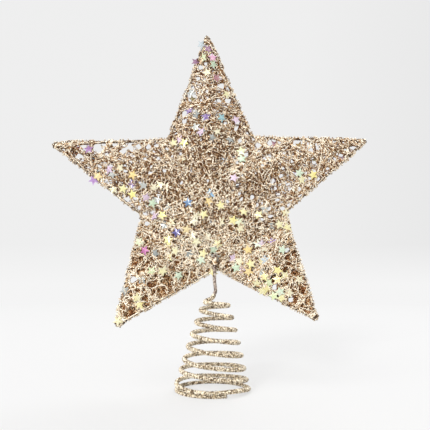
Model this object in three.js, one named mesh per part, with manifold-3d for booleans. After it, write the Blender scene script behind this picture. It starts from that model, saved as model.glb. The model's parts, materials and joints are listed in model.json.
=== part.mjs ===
// Christmas tree topper: a wire star wound with glitter thread, standing on a conical wire spring.
// Millimetres, +Z up. The star's front faces -Y. The origin is the bottom centre of the whole object.

import * as THREE from 'three';
import { mergeVertices } from 'three/addons/utils/BufferGeometryUtils.js';
import Module from 'manifold-3d';

const wasm = await Module();
wasm.setup();

// Gap kept between pieces that touch on the real object
const CLEARANCE = 0.3;
// How many times as large as what it cuts a cutting body is, so that it runs past both faces
const CUT_OVERSHOOT = 4;
const TURN = 2 * Math.PI;
const degrees = THREE.MathUtils.degToRad;

// Spring: wound from the table up, seen from the front it climbs right, front, left, back
const COIL_WIRE_DIAMETER = 3.1;
const COIL_FOOT_RADIUS = 24.5;
const COIL_NECK_RADIUS = 8.1;
const COIL_PITCH = 8.1;
const COIL_TAPER_BOW = 0.28;
const COIL_END_ANGLE = 292;
const COIL_AXIS_LEAN = 0.04;
const COIL_TURN_TILT = 3.2;
const FOOT_FLAT_DEPTH = 0.5;
const FOOT_TURN_GAP = 0.9;

// Stations along the spring, in turns counted from the wire's end on the table
const FLAT_END = 0.74;
const FIRST_LIFT_END = 1.0;
const TAPER_START = 1.06;
const RAMP_START = 1.345;
const RAMP_EASE = 0.3;
const TILT_START = 1.02;
const TILT_END = 1.5;
const LOWER_END = 4.31;
const MIDDLE_END = 6.06;
const HELIX_END = 7.75;
const TAPER_END = 8.06;
const STEPS_PER_TURN = 24;
const COIL_SIDES = 6;

// Neck: where the last turn closes in and rises to the stem, offsets from the end of the helix
const NECK_ROUTE = [
  [0.5, -3.5, 0.3],
  [-2.2, -9.4, 1.0],
  [-8.5, -11.6, 1.7],
  [-13.8, -8.4, 2.2],
  [-15.3, -4.1, 2.7],
  [-13.4, -1.6, 3.9],
  [-10.3, -2.6, 5.3],
  [-9.1, -4.1, 7.9],
];
const NECK_STEPS_PER_SPAN = 3;

// Stem: a bare wire from the neck to the front of the star's lower valley
const STEM_DIAMETER = 2.3;
const STEM_LAP = 9;
const STEM_TOP_OFFSET = -1.3;
const STEM_SIDES = 8;
const STEM_STEPS = 12;
const BINDING_THREAD = 0.5;
const BINDING_LENGTH = 5;

// Star outline: outer corners of a five-pointed star, bent by hand, so each corner strays a little
const STAR_CENTRE_HEIGHT = 134.1;
const STAR_TIP_RADIUS = 115.3;
const STAR_VALLEY_RADIUS = 52.2;
const STAR_LEAN = 1.7;
const STAR_POINTS = 5;
const OUTLINE_WIRE_DIAMETER = 2.5;
const OUTLINE_SIDES = 8;
const ARMS = ['top', 'right', 'lower_right', 'lower_left', 'left'];
const TIP_STRAY = [[-0.7, 0.9], [0.9, -2.1], [0.3, 3.2], [0.4, 2.8], [-3.4, 1.9]];
const VALLEY_STRAY = [[-1.1, -2.8], [2.8, 0.8], [1.3, -2.5], [-0.4, 0.8], [-0.2, -3.0]];

// Web: glitter thread wound over the outline in two folded sheets, front and back
const WEB_SEED = 12;
const WEB_RISE = 13;
const WEB_THICKNESS = 1.4;
const WEB_GAP_PITCH = 11;
const WEB_GAP_RADIUS = 3.5;
const WEB_GAP_SIDES = 5;
const WEB_RIM = 4.5;
const WEB_GAP_LEAST_SHARE = 0.65;
const WEB_JITTER = 0.8;

// Ribs: wires from the star's middle to its tips that hold each sheet's fold
const RIB_DIAMETER = 1.4;
// A rib's middle lies this many of its radii under the sheet, because the fold slopes along it
const RIB_SEAT = 1.05;
const RIB_SIDES = 6;

// Sequins: loose foil stars caught in the front sheet. Each has its share of the way to the tip,
// its share of the half width (plus is clockwise seen from the front), its turn and its foil
const SEQUIN_TIP_RADIUS = 3.4;
const SEQUIN_VALLEY_RADIUS = 1.55;
const SEQUIN_THICKNESS = 0.3;
const SEQUINS = {
  top: [
    [0.92, 0.08, 10, 'lilac'], [0.86, 0.55, 40, 'pink'], [0.72, 0.48, 5, 'pink'],
    [0.63, -0.75, 25, 'silver'], [0.44, 0.75, 60, 'lilac'], [0.30, -0.70, 33, 'yellow'],
  ],
  right: [
    [0.54, 0.36, 15, 'mint'], [0.62, 0.65, 50, 'yellow'], [0.23, -0.72, 30, 'mint'], [0.14, -0.14, 0, 'lilac'],
  ],
  lower_right: [
    [0.43, 0.25, 20, 'gold'], [0.43, -0.69, 45, 'yellow'], [0.56, -0.48, 12, 'mint'],
    [0.64, 0.03, 55, 'yellow'], [0.75, 0.60, 33, 'mint'],
  ],
  lower_left: [
    [0.16, 0.60, 8, 'blue'], [0.31, 0.70, 38, 'yellow'], [0.35, 0.09, 22, 'blue'],
    [0.55, 0.63, 48, 'pink'], [0.59, -0.19, 2, 'yellow'], [0.81, -0.05, 28, 'yellow'],
  ],
  left: [[0.79, 0.32, 28, 'pink'], [0.48, -0.26, 52, 'gold'], [0.45, -0.73, 18, 'yellow']],
};

// Finish of each kind of piece
const finish = (color, roughness, metalness) => new THREE.MeshStandardMaterial({ color, roughness, metalness });
const COIL_FINISH = finish(0xc9b9a3, 0.55, 0.6);
const STEM_FINISH = finish(0x8d8075, 0.45, 0.7);
const THREAD_FINISH = finish(0xbfae97, 0.6, 0.5);
const RIB_FINISH = finish(0x9a8a70, 0.5, 0.6);
const FOILS = {
  yellow: finish(0xf2e9a0, 0.25, 0.4),
  mint: finish(0xbfe6d2, 0.25, 0.4),
  lilac: finish(0xd9c4e6, 0.25, 0.4),
  silver: finish(0xe8e8ec, 0.25, 0.4),
  gold: finish(0xf0d8a8, 0.25, 0.4),
  blue: finish(0x8fa0dd, 0.25, 0.4),
  pink: finish(0xd792c4, 0.25, 0.4),
};

// Small helpers
const lerp = THREE.MathUtils.lerp;
const smooth = (x, from, to) => THREE.MathUtils.smoothstep(x, from, to);
const chance = (least, most) => lerp(least, most, THREE.MathUtils.seededRandom());

const object = new THREE.Group();

function addPiece(name, geometry, material) {
  const mesh = new THREE.Mesh(geometry, material);
  mesh.name = name;
  object.add(mesh);
  return mesh;
}

// A closed body from rings of points that all have the same number of corners
function loft(rings) {
  const sides = rings[0].length;
  const positions = rings.flat().flatMap((point) => point.toArray());
  const index = [];
  for (let ring = 0; ring + 1 < rings.length; ring += 1) {
    for (let side = 0; side < sides; side += 1) {
      const a = ring * sides + side;
      const b = ring * sides + ((side + 1) % sides);
      index.push(a, b, b + sides, a, b + sides, a + sides);
    }
  }
  const last = (rings.length - 1) * sides;
  for (let side = 1; side + 1 < sides; side += 1) {
    index.push(0, side + 1, side);
    index.push(last, last + side, last + side + 1);
  }
  const geometry = new THREE.BufferGeometry();
  geometry.setAttribute('position', new THREE.Float32BufferAttribute(positions, 3));
  geometry.setIndex(index);
  return geometry;
}

// A wire along points, its section carried along without twist; one corner starts straight down
function wire(points, radius, sides) {
  const tangents = points.map((point, i) => {
    const before = points[Math.max(i - 1, 0)];
    const after = points[Math.min(i + 1, points.length - 1)];
    return after.clone().sub(before).normalize();
  });
  let down = new THREE.Vector3(0, 0, -1);
  const rings = points.map((point, i) => {
    down = down.clone().addScaledVector(tangents[i], -down.dot(tangents[i])).normalize();
    const side = tangents[i].clone().cross(down);
    return Array.from({ length: sides }, (_, k) => {
      const angle = (k / sides) * TURN;
      return point.clone()
        .addScaledVector(down, radius * Math.cos(angle))
        .addScaledVector(side, radius * Math.sin(angle));
    });
  });
  return loft(rings);
}

// Solids for cutting, and back again
function toSolid(geometry) {
  const bare = geometry.clone();
  bare.deleteAttribute('normal');
  bare.deleteAttribute('uv');
  const merged = mergeVertices(bare, 1e-4);
  return new wasm.Manifold(new wasm.Mesh({
    numProp: 3,
    vertProperties: new Float32Array(merged.attributes.position.array),
    triVerts: new Uint32Array(merged.index.array),
  }));
}

function toGeometry(solid) {
  const mesh = solid.getMesh();
  const geometry = new THREE.BufferGeometry();
  geometry.setAttribute('position', new THREE.Float32BufferAttribute(mesh.vertProperties, 3));
  geometry.setIndex(Array.from(mesh.triVerts));
  return geometry;
}

// Spring

function coilRadius(turns) {
  const share = THREE.MathUtils.clamp((turns - TAPER_START) / (TAPER_END - TAPER_START), 0, 1);
  const closed = (1 - COIL_TAPER_BOW) * share + COIL_TAPER_BOW * share * share;
  return lerp(COIL_FOOT_RADIUS, COIL_NECK_RADIUS, closed);
}

function coilHeight(turns) {
  const foot = COIL_WIRE_DIAMETER / 2 - FOOT_FLAT_DEPTH;
  const lift = (COIL_WIRE_DIAMETER + FOOT_TURN_GAP) * smooth(turns, FLAT_END, FIRST_LIFT_END);
  const run = Math.max(turns - RAMP_START, 0);
  const eased = run < RAMP_EASE ? (run * run) / (2 * RAMP_EASE) : run - RAMP_EASE / 2;
  return foot + lift + COIL_PITCH * eased;
}

function coilPoint(turns) {
  const angle = degrees(COIL_END_ANGLE) - turns * TURN;
  const radius = coilRadius(turns);
  const height = coilHeight(turns);
  const tilt = Math.sin(degrees(COIL_TURN_TILT)) * smooth(turns, TILT_START, TILT_END);
  return new THREE.Vector3(
    COIL_AXIS_LEAN * height + radius * Math.cos(angle),
    radius * Math.sin(angle),
    height - radius * Math.cos(angle) * tilt,
  );
}

function coilPoints(from, to) {
  const steps = Math.ceil((to - from) * STEPS_PER_TURN);
  return Array.from({ length: steps + 1 }, (_, i) => coilPoint(lerp(from, to, i / steps)));
}

// Half of the gap at a joint between two lengths of the spring, in turns
const halfJoint = (turns) => CLEARANCE / 2 / (TURN * coilRadius(turns));

const helixTop = coilPoint(HELIX_END);
const neckCurve = new THREE.CatmullRomCurve3([
  coilPoint(HELIX_END - 2 / STEPS_PER_TURN),
  helixTop,
  ...NECK_ROUTE.map((offset) => helixTop.clone().add(new THREE.Vector3(...offset))),
], false, 'centripetal');
const neckSteps = (neckCurve.points.length - 1) * NECK_STEPS_PER_SPAN;
const neckPoints = neckCurve.getPoints(neckSteps).slice(NECK_STEPS_PER_SPAN + 1);
const neckTop = neckPoints[neckPoints.length - 1];

const lowerPoints = coilPoints(0, LOWER_END - halfJoint(LOWER_END));
const middlePoints = coilPoints(LOWER_END + halfJoint(LOWER_END), MIDDLE_END - halfJoint(MIDDLE_END));
const topPoints = [...coilPoints(MIDDLE_END + halfJoint(MIDDLE_END), HELIX_END), ...neckPoints];

function addSpring() {
  const radius = COIL_WIRE_DIAMETER / 2;
  const cutSize = CUT_OVERSHOOT * COIL_FOOT_RADIUS;
  const below = new THREE.BoxGeometry(cutSize, cutSize, cutSize);
  below.translate(0, 0, -cutSize / 2);
  const lower = toSolid(wire(lowerPoints, radius, COIL_SIDES)).subtract(toSolid(below));
  addPiece('coil_lower', toGeometry(lower), COIL_FINISH);
  addPiece('coil_middle', wire(middlePoints, radius, COIL_SIDES), COIL_FINISH);
  addPiece('coil_top', wire(topPoints, radius, COIL_SIDES), COIL_FINISH);
}

// The spring's least gap to itself: points at least half a turn apart along the wire
function leastCoilGap() {
  const path = [...lowerPoints, ...middlePoints, ...topPoints];
  let least = Infinity;
  for (let i = 0; i < path.length; i += 1) {
    for (let k = i + STEPS_PER_TURN / 2; k < path.length; k += 1) {
      const end = Math.min(k + 1, path.length - 1);
      const nearest = new THREE.Line3(path[k], path[end]).closestPointToPoint(path[i], true, new THREE.Vector3());
      least = Math.min(least, nearest.distanceTo(path[i]) - COIL_WIRE_DIAMETER);
    }
  }
  return least;
}

// Star outline in the plane y = 0, as [x, z] corners

const starCentre = new THREE.Vector2(0, STAR_CENTRE_HEIGHT);

function starCorner(radius, step, stray) {
  const angle = degrees(90 + STAR_LEAN) - (step * TURN) / (2 * STAR_POINTS);
  return new THREE.Vector2(
    starCentre.x + radius * Math.cos(angle) + stray[0],
    starCentre.y + radius * Math.sin(angle) + stray[1],
  );
}

// Corners go clockwise seen from the front: tip, valley, tip, valley
const outerCorners = ARMS.flatMap((arm, i) => [
  starCorner(STAR_TIP_RADIUS, 2 * i, TIP_STRAY[i]),
  starCorner(STAR_VALLEY_RADIUS, 2 * i + 1, VALLEY_STRAY[i]),
]);

// The same outline, a distance inside: clockwise corners, each moved to where its moved sides meet
function inset(corners, distance) {
  const count = corners.length;
  const sides = corners.map((corner, i) => {
    const along = corners[(i + 1) % count].clone().sub(corner).normalize();
    const inward = new THREE.Vector2(along.y, -along.x);
    return { start: corner.clone().addScaledVector(inward, distance), along };
  });
  return corners.map((corner, i) => {
    const before = sides[(i + count - 1) % count];
    const after = sides[i];
    const between = after.start.clone().sub(before.start);
    const share = between.cross(after.along) / before.along.cross(after.along);
    return before.start.clone().addScaledVector(before.along, share);
  });
}

const wireCorners = inset(outerCorners, OUTLINE_WIRE_DIAMETER / 2);
const cornerAt = (i) => wireCorners[(i + wireCorners.length) % wireCorners.length];

// One straight run of the outline wire, mitred where it meets the next run
function outlineRun(from) {
  const ends = [cornerAt(from), cornerAt(from + 1)];
  const along = ends[1].clone().sub(ends[0]).normalize();
  const across = new THREE.Vector2(-along.y, along.x);
  const beyond = [cornerAt(from - 1), cornerAt(from + 2)];
  const rings = ends.map((corner, end) => {
    const inwards = end === 0 ? 1 : -1;
    const other = beyond[end].clone().sub(corner).normalize();
    const bisector = along.clone().multiplyScalar(inwards).add(other).normalize();
    const slant = along.dot(bisector) / across.dot(bisector);
    const setBack = (CLEARANCE / 2) / Math.abs(across.dot(bisector));
    return Array.from({ length: OUTLINE_SIDES }, (_, k) => {
      const angle = -((k + 0.5) / OUTLINE_SIDES) * TURN;
      const sideways = (OUTLINE_WIRE_DIAMETER / 2) * Math.cos(angle);
      const forward = (OUTLINE_WIRE_DIAMETER / 2) * Math.sin(angle);
      const point = corner.clone()
        .addScaledVector(across, sideways)
        .addScaledVector(along, sideways * slant + inwards * setBack);
      return new THREE.Vector3(point.x, forward, point.y);
    });
  });
  return loft(rings);
}

function addOutline() {
  ARMS.forEach((arm, i) => {
    addPiece(`outline_${arm}_a`, outlineRun(2 * i - 1), THREAD_FINISH);
    addPiece(`outline_${arm}_b`, outlineRun(2 * i), THREAD_FINISH);
  });
}

// Folded sheets: each side of each arm is a flat facet from the raised middle to the outline

const rimDepth = OUTLINE_WIRE_DIAMETER / 2 + CLEARANCE;

// The two facets of an arm: the side before its tip and the side after it, clockwise
function armFacets(arm) {
  const tip = cornerAt(2 * arm);
  return [cornerAt(2 * arm - 1), cornerAt(2 * arm + 1)].map((valley) => ({ tip, valley }));
}

// How far in from the outline a point of a facet lies: 0 on the outline, 1 in the middle
function facetShare(facet, point) {
  const edge = facet.valley.clone().sub(facet.tip);
  const reach = (place) => edge.cross(place.clone().sub(facet.tip));
  return reach(point) / reach(starCentre);
}

// Depth of a sheet's inner face in front of the star's middle plane
const sheetDepth = (facet, point) => rimDepth + WEB_RISE * facetShare(facet, point);

function sidePoint(point, depth, facing) {
  return new THREE.Vector3(point.x, facing * depth, point.y);
}

// A place on an arm: a share of the way to the tip and a share of the half width there
function armPlace(arm, along, across) {
  const facet = armFacets(arm)[across < 0 ? 0 : 1];
  const axis = facet.tip.clone().sub(starCentre);
  const valley = facet.valley.clone().sub(starCentre);
  const valleyAlong = valley.dot(axis) / axis.lengthSq();
  const widest = valley.clone().addScaledVector(axis, -valleyAlong);
  const width = along < valleyAlong ? along / valleyAlong : (1 - along) / (1 - valleyAlong);
  const point = starCentre.clone().addScaledVector(axis, along).addScaledVector(widest, width * Math.abs(across));
  return { facet, point, halfWidth: widest.length() * width, length: axis.length() };
}

function sheetBlank(arm, facing) {
  const [before, after] = armFacets(arm);
  const kite = inset([starCentre.clone(), before.valley, before.tip, after.valley], CLEARANCE / 2);
  const facets = [before, before, before, after];
  const inner = kite.map((point, i) => sidePoint(point, sheetDepth(facets[i], point), facing));
  const outer = kite.map((point, i) => sidePoint(point, sheetDepth(facets[i], point) + WEB_THICKNESS, facing));
  const [middle, valleyA, tip, valleyB] = [0, 1, 2, 3];
  const top = [[middle, valleyA, tip], [middle, tip, valleyB]];
  const corners = kite.length;
  const index = [];
  top.forEach(([a, b, c]) => index.push(a + corners, b + corners, c + corners, a, c, b));
  for (let i = 0; i < corners; i += 1) {
    const next = (i + 1) % corners;
    index.push(i, next, next + corners, i, next + corners, i + corners);
  }
  if (facing < 0) index.reverse();
  const geometry = new THREE.BufferGeometry();
  const positions = [...inner, ...outer].flatMap((point) => point.toArray());
  geometry.setAttribute('position', new THREE.Float32BufferAttribute(positions, 3));
  geometry.setIndex(index);
  return geometry;
}

// Gaps between the threads: rows across the arm, each gap a small uneven window
function sheetGaps(arm) {
  const gaps = [];
  const { length } = armPlace(arm, 0, 1);
  for (let distance = 2 * WEB_GAP_PITCH; distance < length - WEB_GAP_PITCH; distance += WEB_GAP_PITCH) {
    const [before, after] = [-1, 1].map((side) => armPlace(arm, distance / length, side).halfWidth);
    const count = Math.max(1, Math.round((before + after - 2 * WEB_RIM) / WEB_GAP_PITCH));
    for (let k = 0; k < count; k += 1) {
      const along = (distance + chance(-WEB_JITTER, WEB_JITTER)) / length;
      const spot = (2 * k + 1) / count - 1;
      const { halfWidth } = armPlace(arm, along, spot);
      const limit = Math.max(1 - WEB_RIM / halfWidth, 0);
      const across = spot * limit + chance(-WEB_JITTER, WEB_JITTER) / halfWidth;
      const { point } = armPlace(arm, along, THREE.MathUtils.clamp(across, -limit, limit));
      const radius = WEB_GAP_RADIUS * chance(WEB_GAP_LEAST_SHARE, 1);
      const depth = CUT_OVERSHOOT * (WEB_RISE + WEB_THICKNESS);
      const gap = new THREE.CylinderGeometry(radius, radius, depth, WEB_GAP_SIDES);
      gap.rotateY(chance(0, TURN));
      gap.translate(point.x, 0, point.y);
      gaps.push(toSolid(gap));
    }
  }
  return gaps;
}

function addSheets() {
  THREE.MathUtils.seededRandom(WEB_SEED);
  [['front', -1], ['back', 1]].forEach(([side, facing]) => {
    ARMS.forEach((arm, i) => {
      const blank = toSolid(sheetBlank(i, facing));
      const sheet = blank.subtract(wasm.Manifold.union(sheetGaps(i)));
      addPiece(`${side}_web_${arm}`, toGeometry(sheet), THREAD_FINISH);
    });
  });
}

// Ribs lie just under each fold and end where they meet each other and the outline's tip
function addRibs() {
  const radius = RIB_DIAMETER / 2;
  const middleGap = (radius + CLEARANCE / 2) / Math.sin(Math.PI / STAR_POINTS);
  [['front', -1], ['back', 1]].forEach(([side, facing]) => {
    ARMS.forEach((arm, i) => {
      const [facet] = armFacets(i);
      const axis = facet.tip.clone().sub(starCentre);
      const edge = facet.valley.clone().sub(facet.tip);
      const tipAngle = Math.PI - axis.angleTo(edge);
      const tipGap = (OUTLINE_WIRE_DIAMETER / 2 + radius + CLEARANCE) / Math.sin(tipAngle);
      const ends = [middleGap, axis.length() - tipGap].map((distance) => {
        const point = starCentre.clone().addScaledVector(axis, distance / axis.length());
        return sidePoint(point, sheetDepth(facet, point) - CLEARANCE - RIB_SEAT * radius, facing);
      });
      addPiece(`${side}_rib_${arm}`, wire(ends, radius, RIB_SIDES), RIB_FINISH);
    });
  });
}

// Stem and its binding, in front of the lower valley

const lowerArm = ARMS.indexOf('lower_right');
const lowerValley = cornerAt(2 * lowerArm + 1);

function stemDepth(point) {
  const [, facet] = armFacets(lowerArm);
  const outside = Math.max(facetShare(facet, point), 0);
  const slope = Math.hypot(1, WEB_RISE / starCentre.distanceTo(lowerValley));
  const standOff = (STEM_DIAMETER / 2 + BINDING_THREAD + 2 * CLEARANCE) * slope;
  return rimDepth + WEB_RISE * outside + WEB_THICKNESS + standOff;
}

const neckHeading = neckTop.clone().sub(neckPoints[neckPoints.length - 2]).normalize();
const stemFoot = neckTop.clone().addScaledVector(neckHeading, CLEARANCE);
const stemAtValley = new THREE.Vector2(lowerValley.x + STEM_TOP_OFFSET, lowerValley.y);
const stemHead = new THREE.Vector2(stemAtValley.x, stemAtValley.y + STEM_LAP);

const stemCurve = new THREE.CatmullRomCurve3([
  stemFoot,
  stemFoot.clone().addScaledVector(neckHeading, STEM_DIAMETER),
  stemFoot.clone().lerp(sidePoint(stemAtValley, stemDepth(stemAtValley), -1), 0.5),
  sidePoint(stemAtValley, stemDepth(stemAtValley), -1),
  sidePoint(stemHead, stemDepth(stemHead), -1),
], false, 'centripetal');

function addStem() {
  addPiece('stem_wire', wire(stemCurve.getSpacedPoints(STEM_STEPS), STEM_DIAMETER / 2, STEM_SIDES), STEM_FINISH);
  const bore = STEM_DIAMETER / 2 + CLEARANCE;
  const half = BINDING_LENGTH / 2;
  const profile = [
    new THREE.Vector2(bore, -half),
    new THREE.Vector2(bore + BINDING_THREAD, -half),
    new THREE.Vector2(bore + BINDING_THREAD, half),
    new THREE.Vector2(bore, half),
    new THREE.Vector2(bore, -half),
  ];
  const collar = new THREE.LatheGeometry(profile, 2 * STEM_SIDES);
  const low = sidePoint(stemAtValley, stemDepth(stemAtValley), -1);
  const high = sidePoint(stemHead, stemDepth(stemHead), -1);
  const binding = addPiece('stem_binding', collar, THREAD_FINISH);
  binding.position.copy(low).lerp(high, 0.5);
  binding.quaternion.setFromUnitVectors(new THREE.Vector3(0, 1, 0), high.clone().sub(low).normalize());
}

// Sequins lie flat on the front sheet
function addSequins() {
  const outline = new THREE.Shape();
  for (let corner = 0; corner < 2 * STAR_POINTS; corner += 1) {
    const radius = corner % 2 === 0 ? SEQUIN_TIP_RADIUS : SEQUIN_VALLEY_RADIUS;
    const angle = (corner / (2 * STAR_POINTS)) * TURN;
    const place = [radius * Math.cos(angle), radius * Math.sin(angle)];
    if (corner === 0) outline.moveTo(...place);
    else outline.lineTo(...place);
  }
  outline.closePath();
  const laid = ARMS.flatMap((name, arm) => SEQUINS[name].map((sequin) => [arm, ...sequin]));
  laid.forEach(([arm, along, across, turn, foil], i) => {
    const { facet, point } = armPlace(arm, along, across);
    const surface = (place) => sidePoint(place, sheetDepth(facet, place) + WEB_THICKNESS, -1);
    const normal = surface(facet.tip).sub(surface(starCentre)).cross(surface(facet.valley).sub(surface(starCentre)));
    normal.normalize().multiplyScalar(normal.y > 0 ? -1 : 1);
    const geometry = new THREE.ExtrudeGeometry(outline, { depth: SEQUIN_THICKNESS, bevelEnabled: false });
    geometry.rotateZ(degrees(turn));
    const sequin = addPiece(`sequin_${String(i + 1).padStart(2, '0')}`, geometry, FOILS[foil]);
    sequin.position.copy(surface(point)).addScaledVector(normal, CLEARANCE);
    sequin.quaternion.setFromUnitVectors(new THREE.Vector3(0, 0, 1), normal);
  });
}

addSpring();
addStem();
addOutline();
addRibs();
addSheets();
addSequins();

// The origin goes to the bottom centre of the whole object
const bounds = new THREE.Box3().setFromObject(object, true);
const centre = bounds.getCenter(new THREE.Vector3());
object.position.set(-centre.x, -centre.y, -bounds.min.z);
object.updateMatrixWorld(true);

console.log(`least gap of the spring to itself ${leastCoilGap().toFixed(2)} mm`);
console.log(`spring axis at the foot x ${(-centre.x).toFixed(3)} y ${(-centre.y).toFixed(3)} mm`);

export default object;
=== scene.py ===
"""Christmas tree topper: a wire star wound with glitter thread and foil sequins, on a conical wire spring."""
import json
import math

import bpy
import numpy as np
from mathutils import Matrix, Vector


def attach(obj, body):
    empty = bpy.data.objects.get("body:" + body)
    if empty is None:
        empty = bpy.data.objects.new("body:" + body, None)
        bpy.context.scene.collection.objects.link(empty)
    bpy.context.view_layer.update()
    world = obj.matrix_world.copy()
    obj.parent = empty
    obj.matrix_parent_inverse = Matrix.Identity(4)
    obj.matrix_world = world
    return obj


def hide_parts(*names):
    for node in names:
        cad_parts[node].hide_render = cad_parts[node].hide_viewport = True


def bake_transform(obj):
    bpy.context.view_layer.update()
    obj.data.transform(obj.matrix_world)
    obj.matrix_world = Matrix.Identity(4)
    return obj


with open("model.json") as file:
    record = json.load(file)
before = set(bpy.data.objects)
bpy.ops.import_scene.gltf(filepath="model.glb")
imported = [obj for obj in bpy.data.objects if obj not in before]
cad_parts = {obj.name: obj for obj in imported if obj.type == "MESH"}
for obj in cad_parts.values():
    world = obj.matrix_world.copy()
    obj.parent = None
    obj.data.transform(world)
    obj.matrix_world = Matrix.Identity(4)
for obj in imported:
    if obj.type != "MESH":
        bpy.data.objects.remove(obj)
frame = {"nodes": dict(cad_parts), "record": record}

# The drawing's lengths are in millimetres, and MM turns them into the frame's metres
MM = 0.001
TURN = 2 * math.pi
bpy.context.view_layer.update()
mounts = {mount["name"]: mount for mount in frame["record"]["mounts"]}
# The drawing is centred on the spring's axis, which the frame moves aside by this much
AXIS_SHIFT = np.array(mounts["twig_socket"]["pos_m"]) / MM

# Spring
COIL_WIRE_DIAMETER = 3.1
COIL_FOOT_RADIUS = 24.5
COIL_NECK_RADIUS = 8.1
COIL_PITCH = 8.1
COIL_TAPER_BOW = 0.28
COIL_END_ANGLE = math.radians(292)
COIL_AXIS_LEAN = 0.04
COIL_TURN_TILT = math.radians(3.2)
FOOT_FLAT_DEPTH = 0.5
FOOT_TURN_GAP = 0.9
FLAT_END = 0.74
FIRST_LIFT_END = 1.0
TAPER_START = 1.06
RAMP_START = 1.345
RAMP_EASE = 0.3
TILT_START = 1.02
TILT_END = 1.5
LOWER_END = 4.31
MIDDLE_END = 6.06
HELIX_END = 7.75
TAPER_END = 8.06
CAD_STEPS_PER_TURN = 24
NECK_ROUTE = np.array([
    (0.5, -3.5, 0.3), (-2.2, -9.4, 1.0), (-8.5, -11.6, 1.7), (-13.8, -8.4, 2.2),
    (-15.3, -4.1, 2.7), (-13.4, -1.6, 3.9), (-10.3, -2.6, 5.3), (-9.1, -4.1, 7.9),
])
SPRING_STEPS_PER_TURN = 72
NECK_STEPS = 96
SPRING_CORE_RADIUS = 1.05
SPRING_WRAP_CENTRE = 1.16
SPRING_WRAP_RADIUS = 0.37
SPRING_WRAP_PITCH = 1.1
SPRING_WRAP_TONE = 0.62
# How much narrower the wound spring is than its CAD turns, at the foot and at the neck
SPRING_DRAWN_IN = (0.9, 0.3)
WRAP_STEPS_PER_WIND = 9
# The winding is thicker over the free turns: share more, and the turns it comes in over
SPRING_THICKER = (0.05, 1.8, 2.6)
# Single turns that don't sit as an even spring's do: turns from the end, half width in turns, rise, spread
TURN_SETTLING = ((1.08, 0.36, -1.4, 2.0), (2.06, 0.5, 1.6, 0.0), (3.06, 0.5, -0.3, 0.0))
# Painted shade: how much darker the wire is drawn where it lies on the table, and the turns over which that
# fades
FOOT_PAINTED_SHADE = 0.14
FOOT_SHADE_FADE = (0.7, 1.4)
FIRST_TURN_TO_GIVE = 1.15
LAST_TURN_TO_GIVE = 8.5

# Stem
STEM_DIAMETER = 2.3
STEM_LAP = 9
STEM_TOP_OFFSET = -1.3
STEM_STEPS = 90
STEM_CORE_RADIUS = 1.0
STEM_WRAP_CENTRE = 1.02
STEM_WRAP_RADIUS = 0.33
STEM_WRAP_PITCH = 0.95
BINDING_THREAD = 0.5
BINDING_LENGTH = 5
BINDING_STEPS = 12
CLEARANCE = 0.3

# Star outline
STAR_CENTRE = np.array((0, 134.1))
STAR_TIP_RADIUS = 115.3
STAR_VALLEY_RADIUS = 52.2
STAR_LEAN = 1.7
STAR_POINTS = 5
OUTLINE_WIRE_RADIUS = 1.25
ARMS = ("top", "right", "lower_right", "lower_left", "left")
TIP_STRAY = ((-0.7, 0.9), (0.9, -2.1), (0.3, 3.2), (0.4, 2.8), (-3.4, 1.9))
VALLEY_STRAY = ((-1.1, -2.8), (2.8, 0.8), (1.3, -2.5), (-0.4, 0.8), (-0.2, -3.0))
OUTLINE_CORE_RADIUS = 0.85
OUTLINE_WRAP_RADIUS = 0.45
OUTLINE_WRAP_PITCH = 1.3
TIP_PINCH = 6.0
TIP_REACH = 2.4
VALLEY_BEND = 4.0
# How far the wire bows outward along each edge, near its tip and near its valley, and where it bows most
TIP_BOWS = (1.2, 0.8, 1.1, 0.8, 1.1, 0.4, 2.1, 0.7, 1.3, 0.3)
VALLEY_BOWS = (0.4, 0, 0.2, -2.1, 0, 0, 0, 0.9, 0, 0)
BOW_PEAK = 0.18
OUTLINE_STEP = 0.6
OUTLINE_RUN_POINTS = 30
OUTLINE_BEND_POINTS = 17
# How wide each tip's winding is at its end, in the order of the arms
TIP_WIDTHS = (1.0, 1.3, 2.2, 2.4, 2.0)
TIP_WINDS = 10
TIP_WINDING_LENGTH = 6.0
# Half its width at the other end, half its depth at each end, and its thread
TIP_WINDING_WIDTH = 3.2
TIP_WINDING_DEPTHS = (1.1, 1.4)
TIP_THREAD_RADIUS = 0.38

# Webs of glitter thread
WEB_RISE = 13
WEB_THICKNESS = 1.4
RIM_DEPTH = OUTLINE_WIRE_RADIUS + CLEARANCE
THREAD_RADIUS = (0.23, 0.39)
# How much paler threads are where they turn round the outline, and how many more lie beside each window
EDGE_PALER = 0.05
THREADS_BESIDE_WINDOW = 9
# Dark threads behind each shaded window, painted shade for its hollow, and the share of the outer threads
# that is dark and thin, and how dark
THREADS_IN_WINDOW = 9
# Steps across and up, as shares of the star's size, that strew places evenly, and how far each strays
EVEN_STEPS = (0.7548776662, 0.5698402910)
STREWN = 0.5
# How much of a window's radius in the photograph stays clear, and the least pixels between windows
GAP_SHARE = 0.95
WINDOWS_APART_PX = 1.1
# Small windows by chance: how many are tried, and their radii in pixels
SMALL_GAPS = (260, (1.3, 2.4))
SMALL_HOLLOWS = (60, (1.1, 2.2))
DARK_SHARE = 0.32
DARK_DROP = 0.75
FEWER_DARK = 0.6
MORE_BELOW = 500
# Threads in each sheet, and per arm
INNER_LONG_THREADS = 260
INNER_CURLS = 2300
INNER_ARM_THREADS = 36
OUTER_LONG_THREADS = 110
OUTER_CURLS = 3500
OUTER_ARM_THREADS = 30
# Levels off the sheet, from the lowest threads to the highest, in millimetres
INNER_LONG_LEVELS = (-2.6, -1.2)
INNER_CURL_LEVELS = (-2.4, -1.0)
INNER_ARM_LEVELS = (-2.4, -1.2)
HOLLOW_LEVELS = (-2.3, -1.4)
OUTER_LONG_LEVELS = (-0.2, 1.0)
OUTER_ARM_LEVELS = (0.0, 1.0)
OUTER_CURL_LEVELS = (0.1, 1.4)
BUNDLE_LEVELS = (1.2, 1.9)
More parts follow.
